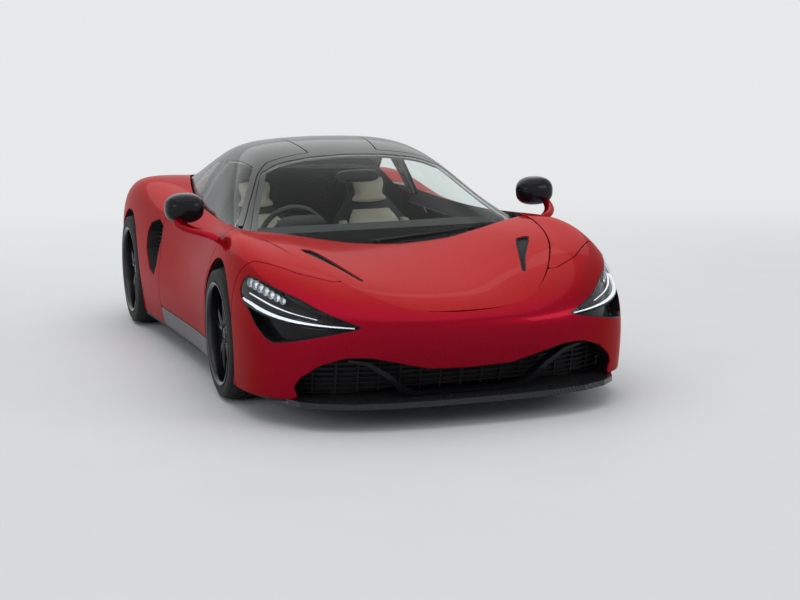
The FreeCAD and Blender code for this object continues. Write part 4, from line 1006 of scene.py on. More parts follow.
# %% [markdown]
# ## Simple makers for parts that turn, run or stand
# Wheels, tyres and brake discs are turned profiles. Arms and light guides are sections swept along a
# line, and brackets are boxes with rounded edges. Blender's own primitives would need a modifier or an
# operator for each, so every maker here gives plain points and faces, and many small forms can be joined
# before they become an object.

# %% A form: points and faces before they become an object
class Form:
    """Points in millimetres and faces, which can be joined, moved, turned and mirrored."""

    def __init__(self, points=(), faces=()):
        self.points = np.array(points, float).reshape(-1, 3)
        self.faces = list(faces)

    def __add__(self, other):
        count = len(self.points)
        return Form(np.concatenate([self.points, other.points]),
                    self.faces + [[i + count for i in face] for face in other.faces])

    def moved(self, x, y, z):
        return Form(self.points + (x, y, z), self.faces)

    def turned(self, angle, axis="Y"):
        """Turned by an angle in degrees about an axis through the origin."""
        turn = np.array(Matrix.Rotation(radians(angle), 3, axis))
        return Form(self.points @ turn.T, self.faces)

    def mirrored(self):
        return Form(self.points * (1, -1, 1), [face[::-1] for face in self.faces])

    def object(self, name, body, finish, slot_name, replaces=(), bevel=0.0, smooth=40, merge=0.00005):
        made = mesh_object(name, self.points / 1000, self.faces, merge)
        if bevel:
            edge = made.modifiers.new("edge", "BEVEL")
            edge.width = bevel
            edge.segments = 2
            edge.angle_limit = radians(35)
            edge.harden_normals = True
            apply_modifiers(made)
        made.data.shade_smooth()
        made.data.set_sharp_from_angle(angle=radians(smooth))
        finish_piece(made, body, finish, replaces)
        print(name, len(made.data.polygons), "faces")
        return made


print("A form can be joined, moved, turned and mirrored")

# %% [markdown]
# Almost every part is a skin through rings of points: a turned profile repeats its ring about an axis, a
# swept section carries it along a line, and a box has just two. So one function makes the faces between
# rings, and the others only say where the rings lie. A line with corners is rounded by cutting its
# corners again and again.

# %% Turned, swept and boxed forms
def rings(loops, closed_ends=True, round_loop=True):
    """A skin through loops that all have the same number of points."""
    count = len(loops[0])
    last = count if round_loop else count - 1
    faces = []
    for k in range(len(loops) - 1):
        for i in range(last):
            j = (i + 1) % count
            faces.append([k * count + i, k * count + j, (k + 1) * count + j, (k + 1) * count + i])
    if closed_ends:
        faces.append(list(range(count))[::-1])
        faces.append([(len(loops) - 1) * count + i for i in range(count)])
    return Form(np.concatenate([np.array(loop, float) for loop in loops]), faces)


def turned_profile(profile, segments=96):
    """A closed profile of (radius, y) turned about the Y axis."""
    profile = np.array(profile, float)
    loops = []
    for k in range(segments + 1):
        angle = 2 * pi * k / segments
        loops.append(np.stack([profile[:, 0] * cos(angle), profile[:, 1], profile[:, 0] * sin(angle)], 1))
    return rings(loops, closed_ends=False)


def rounded_line(points, rounds=3):
    """A line with its corners cut again and again, which makes it a smooth curve with the same ends."""
    line = np.array(points, float)
    for _ in range(rounds):
        cut = [line[0]]
        for a, b in zip(line[:-1], line[1:]):
            cut += [a * 0.75 + b * 0.25, a * 0.25 + b * 0.75]
        line = np.array(cut[:1] + cut[2:-1] + [line[-1]])
    return line


def swept(path, section, sizes=(1.0, 1.0), up=(0, 0, 1)):
    """A section of (across, up) carried along a path, through sizes that are spread evenly over it."""
    path = np.array(path, float)
    sizes = np.interp(np.linspace(0, 1, len(path)), np.linspace(0, 1, len(sizes)), sizes)
    loops = []
    for k, point in enumerate(path):
        way = path[min(k + 1, len(path) - 1)] - path[max(k - 1, 0)]
        way /= np.linalg.norm(way)
        across = np.cross(way, up)
        across /= np.linalg.norm(across)
        rise = np.cross(across, way)
        loops.append([point + (across * a + rise * b) * sizes[k] for a, b in section])
    return rings(loops)


def round_section(radius, count=12, flat=1.0):
    return [(radius * cos(2 * pi * i / count), radius * flat * sin(2 * pi * i / count)) for i in range(count)]


def block(x0, x1, y0, y1, z0, z1):
    points = [(x, y, z) for z in (z0, z1) for x, y in ((x0, y0), (x1, y0), (x1, y1), (x0, y1))]
    return rings([points[:4], points[4:]])


def disc(radius, y0, y1, segments=48):
    return turned_profile([(0.01, y0), (radius, y0), (radius, y1), (0.01, y1)], segments)


def joined(forms):
    total = Form()
    for form in forms:
        total = total + form
    return total


print("Makers ready")

# %% [markdown]
# ## Wheels and tyres
# A tyre is a turned carcass with a rounded wall, and its tread is five rows of blocks with slanted cuts
# between them, rounded off at the shoulders. The grooves could be pressed in with a bump, but then the
# outline of the tyre would stay smooth, so each block is a real one that stands on the carcass.

# %% A tyre with tread blocks
ROW_BLOCKS, BLOCK_SHARE = 66, 0.80
TREAD_DEPTH, SHOULDER = 9.0, 11.0


def tyre_form(radius, half, rim):
    """The carcass, a little lower than the tread, and the blocks of five rows on it."""
    wall = [(rim + 1, half - 14), (rim + 6, half - 6), (rim + 13, half - 1.5), (rim + 16, half - 3),
            (rim + 30, half - 0.5), (rim + 44, half - 1), (radius - 28, half - 3), (radius - 16, half - 9),
            (radius - 11, half - 18), (radius - 8, half - 34)]
    profile = wall + [(r, -y) for r, y in reversed(wall)]
    carcass = turned_profile(profile, 120)
    # From, to, how much lower than the tread, slant, and how far each of the two edges is rounded off
    rows = ((-half + 9, -half * 0.58, -3.0, 0.028, SHOULDER, 0.0),
            (-half * 0.53, -half * 0.21, -0.4, 0.020, 0.0, 0.0),
            (-half * 0.15, half * 0.15, 0.0, 0.0, 0.0, 0.0),
            (half * 0.21, half * 0.53, -0.4, -0.020, 0.0, 0.0),
            (half * 0.58, half - 9, -3.0, -0.028, 0.0, SHOULDER))
    blocks = []
    for index, (low, high, drop, slant, first, last) in enumerate(rows):
        for k in range(ROW_BLOCKS):
            start = 2 * pi * (k + 0.37 * index) / ROW_BLOCKS
            loops = []
            for depth, share in ((-TREAD_DEPTH, 0.6), (0.0, 1.0)):
                loop = []
                for y, lean, rounding, ends in ((low, -slant, first, (0.0, BLOCK_SHARE)),
                                                (high, slant, last, (BLOCK_SHARE, 0.0))):
                    for end in ends:
                        angle = start + lean + end * 2 * pi / ROW_BLOCKS
                        r = radius + drop + depth - rounding * share
                        loop.append((r * cos(angle), y, r * sin(angle)))
                loops.append(loop)
            blocks.append(rings(loops))
    return carcass + joined(blocks)


WHEELS = {
    # name: axle x, half track, half tyre width, tyre radius, rim radius, disc radius
    "front": (AXLE_FRONT, 837.0, 122.5, RADIUS_FRONT, 249.0, 180.0),
    "rear": (AXLE_REAR, 814.5, 152.5, RADIUS_REAR, 262.0, 190.0),
}
for end, (axle, track, half, radius, rim, disc_radius) in WHEELS.items():
    tyre = tyre_form(radius, half, rim).moved(axle, track, radius)
    tyre.object(end + "_tread_left", end + "_wheel_body_left", rubber, "tyre_rubber", [end + "_tyre_left"])
    tyre.mirrored().object(end + "_tread_right", end + "_wheel_body_right", rubber, "tyre_rubber",
                           [end + "_tyre_right"])

# %% [markdown]
# Each wheel is a turned rim with five pairs of slim blades that meet in a recessed hub. The blades are
# lofts from a broad root at the hub to a narrow tip at the rim, with a ridge along the middle that
# catches the light. One pair points straight up, and the others are the same pair turned about the axle.

# %% Rims, blades and hubs
def blade_form(rim, face, lean):
    """One blade of a pair, from the hub to the rim."""
    loops = []
    for share in np.linspace(0, 1, 9):
        reach = 58 + share * (rim - 74)
        shift = lean * (9 + 46 * share ** 1.2)
        width = 15 - 6.5 * share + 3.5 * share ** 6
        front = face - 6 - 14 * share + 10 * sin(pi * share) * 0.5
        loops.append([(shift - width, front - 6, reach), (shift - width * 0.5, front + 1, reach),
                      (shift, front + 3.5, reach), (shift + width * 0.5, front + 1, reach),
                      (shift + width, front - 6, reach), (shift + width * 0.8, front - 24, reach),
                      (shift - width * 0.8, front - 24, reach)])
    return rings(loops)


def rim_form(rim, half):
    """The barrel of the wheel with its two flanges and the step behind the outer one."""
    inner = [(rim - 0.5, -half + 12), (rim + 7, -half + 5), (rim + 7, -half - 0.5), (rim + 3, -half - 1),
             (rim - 8, -half + 4), (rim - 15, -half + 16)]
    outer = [(rim - 16, half - 44), (rim - 13, half - 24), (rim - 12, half - 8), (rim - 6, half - 3),
             (rim + 1, half + 0.6), (rim + 7, half + 0.6), (rim + 7, half - 5), (rim - 0.5, half - 12)]
    return turned_profile(inner + outer, 144)


def hub_form(face):
    """The recessed hub with its cap and five wheel bolts."""
    steps = [(0.01, -2), (22, -2), (27, -5), (30, -12), (54, -16), (66, -8), (74, -10), (78, -20), (78, -50),
             (30.4, -50), (30.4, -26), (0.01, -26)]
    cap = turned_profile([(radius, face + y) for radius, y in steps], 72)
    bolt = turned_profile([(0.01, 6), (6, 6), (7.5, 4), (9, -2), (9, -8), (0.01, -8)], 6)
    return cap + joined([bolt.moved(44, face - 12, 0).turned(72 * k + 36) for k in range(5)])


print("Wheel makers ready")

# %% [markdown]
# Behind the blades stand a vented brake disc, which turns with the wheel, and its caliper, which doesn't:
# in front it rides on the steered hub, and behind on the body. Drilled holes would cost many faces, so
# each one is a thin dark plate just over the disc, painted shade where one would look into the hole.

# %% Discs and calipers
def disc_form(disc_radius, outer):
    """A vented disc: two plates with a groove between them, and a raised bell in the middle."""
    steps = [(disc_radius, -32), (disc_radius, -21), (disc_radius - 6, -21), (disc_radius - 6, -11),
             (disc_radius, -11), (disc_radius, 0), (92, 0), (88, 4), (60, 4), (60, -32)]
    return turned_profile([(78, outer - 32)] + [(radius, outer + y) for radius, y in steps], 96)


def hole_shade_form(disc_radius, outer):
    """Three rows of drilled holes, as dark plates on the disc: painted shade of the holes."""
    wells = []
    for k in range(36):
        for row in range(3):
            reach = disc_radius - 20 - 26 * row
            well = disc(3.6, outer + 0.05, outer + 0.35, 8).moved(reach, 0, 0)
            wells.append(well.turned(10 * k + row * 3.5))
    return joined(wells)


def caliper_form(disc_radius, outer):
    """A curved block over the disc's rear edge, open where the disc runs."""
    inner, over, rim_side = disc_radius - 58, disc_radius + 8, disc_radius + 22
    steps = [(inner, 3), (inner, 17), (over, 18), (rim_side, 10), (rim_side, -44), (inner + 10, -50),
             (inner + 10, -37), (over, -37), (over, 3)]
    loops = []
    for angle in np.linspace(155, 205, 13):
        a = radians(angle)
        loops.append([(r * cos(a), outer + y, r * sin(a)) for r, y in steps])
    return rings(loops)


HUB_INSET, DISC_INSET = 34.0, 96.0
for end, (axle, track, half, radius, rim, disc_radius) in WHEELS.items():
    face, outer = half - HUB_INSET, half - DISC_INSET
    blades = [blade_form(rim, face, lean).turned(72 * k) for k in range(5) for lean in (-1, 1)]
    forms = [rim_form(rim, half) + joined(blades) + hub_form(face), disc_form(disc_radius, outer),
             hole_shade_form(disc_radius, outer), caliper_form(disc_radius, outer)]
    forms = [form.moved(axle, track, radius) for form in forms]
    for hand, mirror in HANDS:
        wheel, brake, holes, caliper = [form.mirrored() if mirror else form for form in forms]
        spun, still = end + "_wheel_body_" + hand, "hub_" + hand if end == "front" else "body"
        stands_for = [end + "_wheel_" + hand]
        wheel.object(f"{end}_rim_{hand}", spun, dark_alloy, "wheel_alloy", stands_for, bevel=0.0012)
        brake.object(f"{end}_disc_{hand}", spun, disc_steel, "metal", stands_for)
        # Dark plates on the disc: painted shade of the drilled holes
        holes.object(f"{end}_disc_hole_shades_{hand}", spun, black_satin, "metal", stands_for)
        caliper.object(f"{end}_caliper_{hand}", still, caliper_paint, "metal", bevel=0.003)

# %% [markdown]
# ## Lamps
# Each headlamp is a deep black socket in the corner of the nose. A long light blade runs across it and
# down to its inner tip, and over the blade sit small glass projectors under a clear cover. Their places
# could be typed in as points in space, but then each one would miss the curved skin. So they are given on
# the flat view from the car's corner and dropped onto the skin from there.

# %% Blades and shelf of the lamps
front_tree = search_tree(belt, 9, 5, 220, 120)
# Rays start ahead of the corner, where x + y is this
FAR_OUT = 3400.0


def in_lamp(across, height, depth):
    """The point this deep under the skin, seen from the corner at x - y = across."""
    start = Vector(((FAR_OUT + across) / 2, (FAR_OUT - across) / 2, height))
    place = front_tree.ray_cast(start, Vector((-1, -1, 0)).normalized())[0]
    return np.array(place) + np.array((-0.7071, -0.7071, 0)) * depth


LENS_COVER = [(716, 600), (722, 640), (764, 661), (830, 657), (992, 630), (1235, 582), (1447, 523),
              (1640, 471), (1660, 466), (1600, 465), (1200, 488), (960, 518), (800, 556), (728, 584)]
BLADE = ((745, 563), (830, 552), (960, 527), (1120, 503), (1300, 484), (1480, 471), (1625, 463))
UPPER_BLADE = ((790, 588), (900, 571), (1040, 545), (1200, 520), (1380, 497))
blade_path = rounded_line([in_lamp(s, z, 12) for s, z in BLADE])
upper_path = rounded_line([in_lamp(s, z, 30) for s, z in UPPER_BLADE])
blade = swept(blade_path, [(-7, -6), (7, -6), (7, 0), (3, 5), (-3, 5), (-7, 2)], (0.8, 1.1, 1.0, 0.7, 0.4))
thin_blade = swept(upper_path, [(-4, -2), (4, -2), (4, 2), (-4, 2)], (0.8, 1.0, 0.6))
shelf_path = rounded_line([in_lamp(s, z - 14, 22) for s, z in BLADE])
shelf = swept(shelf_path, [(-18, -3), (18, -3), (18, 3), (-18, 3)], (1.0, 1.0, 0.8, 0.6, 0.3))
print("Light blade through", len(blade_path), "places")

# %% [markdown]
# Each projector is a silvered cup with a glowing heart and a domed lens, all turned about the line on
# which the lamp looks out. Real lenses have steps that show only from very near, so a plain dome stands
# for them. The tail has one thin red line of light along the edge of its opening.

# %% Projectors, covers and tail lights
# Across, height and radius of each projector
PROJECTORS = ((785, 632, 17), (838, 626, 18), (895, 616, 18), (952, 605, 17), (1008, 593, 16),
              (1062, 582, 14), (1112, 571, 12))
HEART_SHARE = 0.42


def front_of_tail(outline):
    """Seen from behind, and only at the tail."""
    return all_of(front(outline), behind(-1990))


def facing_corner(form, place):
    """A form that was turned about Y, set so that its axis looks out of the lamp."""
    return form.turned(-45, "Z").moved(*place)


def dome(radius, rise, segments=20):
    """A shallow glass dome with a closed back."""
    profile = [(radius * sin(a), rise * cos(a)) for a in np.linspace(0.02, pi / 2, 7)]
    return turned_profile([(0.01, -2)] + [(0.01, rise)] + profile + [(radius, -2)], segments)


def cup(radius):
    """The silvered bowl of a projector."""
    return turned_profile([(radius, 0), (radius + 2.5, 7), (radius + 4, 7), (radius + 4, -9), (0.01, -9),
                           (0.01, -7), (radius - 2, -6)], 24)


cups, domes, hearts = [], [], []
for s, z, radius in PROJECTORS:
    place = in_lamp(s, z, 34)
    cups.append(facing_corner(cup(radius), place))
    domes.append(facing_corner(dome(radius - 1, 7), place))
    hearts.append(facing_corner(disc(radius * HEART_SHARE, -5.5, -3.5, 12), place))
LAMP_PARTS = {
    "lamp_blade": (blade + thin_blade, white_light, "lamp_light"),
    "lamp_shelf": (shelf, black_gloss, "gloss_black"),
    "lamp_cups": (joined(cups), lamp_silver, "metal"),
    "lamp_domes": (joined(domes), lens_glass, "lamp_light"),
    "lamp_hearts": (joined(hearts), white_light, "lamp_light"),
}
for name, (form, finish, slot_name) in LAMP_PARTS.items():
    form.object(name + "_left", "body", finish, slot_name, ["lamps"])
    form.mirrored().object(name + "_right", "body", finish, slot_name, ["lamps"])
for hand, mirror in HANDS:
    panel("lamp_cover_" + hand, belt.under(3.0), corner(LENS_COVER), "body", lens_glass,
          ["lamps"], thick=0.0025, step=10.0, mirror=mirror, edge=0.0004)
    panel("tail_light_" + hand, belt.under(4.0), front_of_tail(TAIL_LAMP), "body", red_light,
          ["lamps"], thick=0.014, step=6.0, mirror=mirror, edge=0.001)

# %% [markdown]
# ## Door mirrors
# The mirrors stand well away from the doors on painted arms, and swing up with them. The cap is a rounded
# black shell. It could be a stretched sphere, but the real one is squarer and flat at the back, so its
# rings grow along a list of widths and heights. The silvered glass sits a little inside its back.

# %% Mirror caps, arms and glasses
def ellipse(x, y, z, a, b, power=2.0, count=36):
    """A ring at x, as wide as 2a and as high as 2b, squarer with a higher power."""
    ring = []
    for i in range(count):
        t = 2 * pi * i / count
        c, s = cos(t), sin(t)
        ring.append((x, y + a * abs(c) ** (2 / power) * (1 if c > 0 else -1),
                     z + b * abs(s) ** (2 / power) * (1 if s > 0 else -1)))
    return ring


# x, half width, half height and drift inwards of each ring
CAP_RINGS = ((647, 20, 14, -4), (643, 48, 34, -3), (633, 72, 54, -2), (618, 88, 67, -1), (600, 97, 74, 0),
             (575, 102, 78, 0), (552, 104, 79, 0), (548, 102, 77, 0), (549, 97, 72, 0), (556, 95, 70, 0))
MIRROR_Y, MIRROR_Z, SQUARENESS = 978, 897, 2.5
cap = rings([ellipse(x, MIRROR_Y + drift, MIRROR_Z, a, b, SQUARENESS) for x, a, b, drift in CAP_RINGS])
glass = rings([ellipse(x, MIRROR_Y, MIRROR_Z, 93, 68, SQUARENESS) for x in (554.5, 551.5)])
ARM = ((908, 846, 738), (900, 880, 764), (872, 918, 784), (822, 954, 794), (765, 984, 802), (712, 1007, 811),
       (665, 1020, 824), (625, 1024, 845), (600, 1020, 868))
ARM_SIZES = (0.8, 0.85, 0.85, 0.9, 0.95, 0.95, 0.8)
arm = swept(rounded_line(ARM), round_section(30, 16, 0.5), ARM_SIZES, (0.2, 0.3, 1))
MIRROR_PARTS = {
    "mirror_cap_": (cap, black_gloss, "gloss_black"),
    "mirror_arm_": (arm, red_paint, "red_paint"),
    "mirror_glass_": (glass, mirror_silver, "metal"),
}
for hand, mirror in HANDS:
    for name, (form, finish, slot_name) in MIRROR_PARTS.items():
        form = form.mirrored() if mirror else form
        form.object(name + hand, "door_body_" + hand, finish, slot_name, ["mirror_" + hand])

# %% [markdown]
# ## Cabin
# Through the windscreen one sees the steering wheel, the dark top of the dashboard, the pale lining of
# the roof and the cream seats. The steering wheel is a leather ring on three spokes with paddles behind
# it. It is made flat, as it would lie on a bench, and then set onto its column, because its joint turns
# it about the column's own line.

# %% Steering wheel
TILT, RING_RADIUS, RING_STEPS = 24.0, 170.0, 72
COLUMN_END = (330, -350, 700)
section = round_section(15, 14)
rim_loops = []
for turn in np.linspace(0, 2 * pi, RING_STEPS + 1):
    out = np.array((cos(turn), sin(turn), 0))
    rim_loops.append([out * (RING_RADIUS + a) + np.array((0, 0, b)) for a, b in section])
wheel_ring = rings(rim_loops, closed_ends=False)
BOSS_STEPS = ((48, -28), (54, -6), (50, 6), (30, 10))
boss = rings([[(a * 1.15, b, h) for a, b in round_section(r, 24)] for r, h in BOSS_STEPS])
spoke_forms = []
for angle, length in ((90, 158), (-90, 158), (180, 158)):
    spoke = rings([[(r, w, -6), (r, w, 5), (r, w * 0.5, 8), (r, -w * 0.5, 8), (r, -w, 5), (r, -w, -6)]
                   for r, w in ((38, 26), (90, 17), (130, 14), (length, 17))])
    spoke_forms.append(spoke.turned(angle, "Z"))
paddles = [block(60, 118, -9, -3, -34, -20).turned(90, "Z").moved(6, 0, 0),
           block(60, 118, 3, 9, -34, -20).turned(-90, "Z").moved(6, 0, 0)]


def on_column(form):
    """From the wheel's own plane, with X up and Z towards the driver, to its place in the car."""
    return form.turned(-(90 - TILT), "Y").moved(*COLUMN_END)


on_column(wheel_ring).object("wheel_ring", "steering", black_leather, "trim_black", ["steering_wheel"])
on_column(boss + joined(spoke_forms)).object("wheel_spokes", "steering", black_suede, "trim_black",
                                              ["steering_wheel"], bevel=0.002)
on_column(joined(paddles)).object("shift_paddles", "steering", dark_alloy, "wheel_alloy", bevel=0.001)

# %% [markdown]
# The dashboard is a CAD solid. What catches the eye on it is set in front of it: the hood over the
# instruments, the upright screen, and slim vents with three fins each. These are plain blocks with
# rounded edges, because behind glass and in shade nothing finer would show.

# %% Instruments, screen, vents and mirror in the cabin
HOOD = ((-125, -45), (-128, 0), (-110, 22), (-60, 34), (60, 34), (110, 22), (128, 0), (125, -45))
VENT_PLACES = (-560, 560, 300, 130)
hood = rings([[(480 - 30 * k, -350 + y, 770 + z - 8 * k) for y, z in HOOD] for k in (-3, 0, 1)])
dial = block(438, 446, -455, -245, 735, 795)
screen = block(452, 460, -70, 70, 560, 740)
screen_frame = block(458, 476, -80, 80, 550, 750)
vents = [block(476, 500, y - 45, y + 45, 690, 722) for y in VENT_PLACES]
fins = [block(472, 478, y - 42, y + 42, z, z + 3) for y in VENT_PLACES for z in (695, 704, 713)]
CABIN_MIRROR = ((452, 60, 20), (446, 118, 31), (436, 122, 34), (428, 120, 33))
cabin_mirror = rings([ellipse(x, 0, 1012, a, b, 3.2) for x, a, b in CABIN_MIRROR])
stalk = swept([(440, 0, 1024), (447, 0, 1034), (452, 0, 1038)], round_section(6, 10), up=(0, 1, 0))
hood.object("instrument_hood", "body", black_leather, "trim_black", bevel=0.004)
(dial + screen).object("displays", "body", display_glass, "gloss_black", bevel=0.001)
(screen_frame + joined(fins)).object("screen_frame", "body", black_gloss, "gloss_black", bevel=0.002)
joined(vents).object("air_vents", "body", black_satin, "satin_black", bevel=0.004)
(cabin_mirror + stalk).object("cabin_mirror", "body", black_gloss, "gloss_black")

# %% [markdown]
# The roof and the door frames are lined with pale suede, and a black printed band hides where the
# windscreen is glued in. Both follow the canopy, so they are panels as well, cut from the same skin a few
# millimetres further in and a little smaller than what they line.

# %% Roof lining and the black band round the screen
LINED = canopy.under(21.0)
BAND_WIDTH = 34.0
band_keep = all_of(plan(WINDSCREEN), lambda p: BAND_WIDTH - plan(WINDSCREEN)(p))
panel("roof_lining", LINED, lambda p: roof_keep(p) - 6, "body", pale_suede, mirror="both",
      thick=0.004, step=22.0, edge=0.0008)
panel("screen_band", canopy.under(4.6), band_keep, "body", black_gloss, mirror="both",
      thick=0.0012, step=9.0, edge=0.0002)
for hand, mirror in HANDS:
    panel("door_lining_" + hand, LINED, lambda p: frame_keep(p) - 5, "door_body_" + hand, pale_suede,
          mirror=mirror, thick=0.003, step=20.0, edge=0.0006)

# %% [markdown]
# ## Linings, ducts and the tail
# Each wheel turns under a black liner that keeps stones and water off the body. A half cylinder would
# stick out through the curved wing, so the liner is drawn round the wheel in many steps, and at each one
# a ray finds how far out the skin lies. The liner stops just inside it.

# %% Wheel-arch liners
belt_tree = search_tree(belt.under(9.0), 18, 5, 260, 90)
LINER_BOTTOM, LINER_WALL = 127.0, 3.0


def liner_form(axle, height, radius, inner, rear_hem):
    """The lining of one arch: round the wheel, and from its inner edge out to the back of the skin."""
    loops = []
    low_rear, low_front = asin((height - rear_hem) / radius), asin((height - LINER_BOTTOM) / radius)
    for angle in np.linspace(pi + low_rear, -low_front, 64):
        x, z = axle + radius * cos(angle), height + radius * sin(angle)
        place = belt_tree.ray_cast(Vector((x, 2000, z)), Vector((0, -1, 0)))[0]
        if place is None:
            continue
        thin = 1 - LINER_WALL / radius
        x_in, z_in = axle + (x - axle) * thin, height + (z - height) * thin
        loops.append([(x, inner, z), (x, place.y - 4, z), (x_in, place.y - 4, z_in), (x_in, inner, z_in)])
    return rings(loops)


front_liner = liner_form(AXLE_FRONT, RADIUS_FRONT, ARCH_FRONT - 2, 560, LINER_BOTTOM)
rear_liner = liner_form(AXLE_REAR, RADIUS_REAR, ARCH_REAR - 2, 625, 222)
air_guide = block(1588, 1594, 640, 935, 128, 330)
liners = front_liner + rear_liner + air_guide
liners = liners + liners.mirrored()
liners.object("arch_liners", "body", black_satin, "satin_black", ["wheel_wells"])

# %% [markdown]
# The mouth under the nose leads air to the radiators. A smooth wall runs back from its edge, and a dark
# sheet that follows the nose closes it behind the grille, as the radiators' frame does on the real car.

# %% Duct walls of the mouth
DUCT_DEPTH, DUCT_WALL = 106.0, 3.0


def on_front(y, z, depth):
    """The point of the nose at y and z, this far behind the skin."""
    place = front_tree.ray_cast(Vector((3000, y, z)), Vector((-1, 0, 0)))[0]
    return np.array((place.x - depth, y, z))


mouth_line = rounded_line([(0, 256)] + MOUTH[1:8] + [(758, 138)], 2)
duct_loops = []
for y, z in mouth_line:
    lip, back = on_front(y, z, 8), on_front(y, z, DUCT_DEPTH)
    away = np.array((0, DUCT_WALL, 0)) if y > 700 else np.array((0, 0, DUCT_WALL))
    duct_loops.append([lip, back, back + away, lip + away])
duct = rings(duct_loops)
(duct + duct.mirrored()).object("mouth_duct", "body", black_satin, "satin_black")

back_keep = all_of(lambda p: front(MOUTH)(p) + 130, above(134), ahead(1572))
panel("mouth_back", belt.under(128.0), back_keep, "body", black_satin, mirror="both",
      thick=0.003, step=24.0, edge=0.0005)

# %% [markdown]
# One long wiper lies at the foot of the windscreen. Its line is given seen from above and lifted onto the
# screen, so the arm and the rubber follow the glass without touching it.

# %% The wiper
WIPER_LINE = ((1138, -112), (1110, 120), (1078, 300), (1040, 430), (1006, 516))


def on_screen(x, y, lift):
    """The point above the screen at x and y."""
    return np.array((x, y, canopy_height(np.array([[x, abs(y) + 1e-3, 0.0]]))[0] + lift))


wiper_path = rounded_line([on_screen(x, y, 7) for x, y in WIPER_LINE])
arm_part = swept(wiper_path, [(-7, -3), (7, -3), (6, 3), (-6, 3)], (1.2, 0.9, 0.6, 0.5))
rubber_path = rounded_line([on_screen(x - 16, y, 4) for x, y in WIPER_LINE[1:]])
blade_part = swept(rubber_path, [(-3, -3), (3, -3), (2, 5), (-2, 5)])
pivot = turned_profile([(0.01, -8), (15, -8), (15, 4), (11, 8), (0.01, 8)], 24).turned(90, "X")
wiper_parts = arm_part + blade_part + pivot.moved(*on_screen(*WIPER_LINE[0], 4))
wiper_parts.object("wiper", "body", black_satin, "satin_black", ["wipers"], bevel=0.001)

# %% [markdown]
# The tail is one large opening that lets the engine's heat out through a mesh, with a round hole for each
# of the two exhaust tips. A picture of a mesh would look flat from the side, so every bar is a real one,
# cut to the length that the opening has at its place. The tips are turned tubes with a rolled lip.

# %% Mesh and exhaust tips of the tail
TIP_Y, TIP_Z, TIP_ROOM = 115.0, 610.0, 58.0
BAR, LEVEL_PITCH, UPRIGHT_PITCH = 4.0, 18.0, 24.0


def tail_reach(z):
    """How far out the tail's opening reaches at this height."""
    ys = np.arange(0.0, 740.0, 4.0)
    good = inside(TAIL_MOUTH, np.stack([ys, ys * 0 + z], 1)) > 7
    return ys[good].max() if good.any() else 0.0


bars = []
for z in np.arange(430, 792, LEVEL_PITCH):
    gap = sqrt(max(0.0, TIP_ROOM ** 2 - (z - TIP_Z) ** 2))
    runs = ((0, TIP_Y - gap), (TIP_Y + gap, tail_reach(z))) if gap else ((0, tail_reach(z)),)
    bars += [block(-2197, -2190.5, low, high, z, z + BAR) for low, high in runs]
for y in np.arange(20, 700, UPRIGHT_PITCH):
    heights = [z for z in np.arange(424, 796, 4.0)
               if tail_reach(z) > y and hypot(y - TIP_Y, z - TIP_Z) > TIP_ROOM]
    runs = np.split(heights, np.where(np.diff(heights) > 5)[0] + 1) if heights else []
    bars += [block(-2195, -2190.5, y, y + BAR, run[0], run[-1]) for run in runs]
mesh = joined(bars)
(mesh + mesh.mirrored()).object("tail_mesh", "body", black_satin, "satin_black")
tip = turned_profile([(47, 0), (46, -6), (48, -11), (52, -12), (55, -8), (55, 30), (52.5, 40), (52.2, 4)], 64)
tip = tip.turned(-90, "Z").moved(-2256, TIP_Y, TIP_Z)
(tip + tip.mirrored()).object("exhaust_tips", "body", steel_tube, "exhaust_metal")

# %% [markdown]
# Each door has a dark suede card, a stuffed-looking cream armrest and a metal pull. They stand a few
# millimetres proud of its inner face and follow its curve, so they are slabs between two heights over
# that face. All of them swing up with the door.

# %% Door cards, armrests and pulls
def door_pad(name, keep, low, high, hand, mirror, finish, step=22.0):
    """A slab on a door's inner face, between two heights over it in millimetres."""
    points, faces, places = trimmed(belt, keep, step)
    near, far = door_inner(places, points, low), door_inner(places, points, high)
    points, faces = closed_shell(far, near, faces)
    if mirror:
        points = points * (1, -1, 1)
        faces = [face[::-1] for face in faces]
    made = mesh_object(name, points, faces)
    round_edge = made.modifiers.new("edge", "BEVEL")
    round_edge.width = min(0.012, (high - low) * 0.0004)
    round_edge.segments = 3
    round_edge.angle_limit = radians(50)
    apply_modifiers(made)
    made.data.shade_smooth()
    made.data.set_sharp_from_angle(angle=radians(60))
    finish_piece(made, "door_body_" + hand, finish)
    print(name, len(made.data.polygons), "faces")


ARMREST = [(-330, 560), (-320, 610), (60, 622), (330, 600), (350, 560), (40, 540)]
PULL = [(100, 634), (100, 668), (420, 662), (420, 630)]
for hand, mirror in HANDS:
    door_pad("door_card_" + hand, all_of(lambda p: door_keep(p) - 14, behind(735)), 1.0, 8.0, hand, mirror,
             black_suede)
    door_pad("door_armrest_" + hand, side(ARMREST), 9.0, 42.0, hand, mirror, cream_leather)
    door_pad("door_pull_" + hand, side(PULL), 9.0, 24.0, hand, mirror, dark_alloy, 11.0)

# %% [markdown]
# ## Seats
# A seat is a hard shell with stuffed leather pads. A pad could be a box with round edges, but leather
# over foam bulges most in its middle and is drawn in at its seams. So each pad starts as a slightly
# smaller closed form and is filled with air in a short cloth simulation, with a cap on how far it may
# swell.

# %% A stuffed pad
VOXEL, PRESSURE, SWELL_CAP, MOMENTS = 0.006, 4.0, 0.012, 20


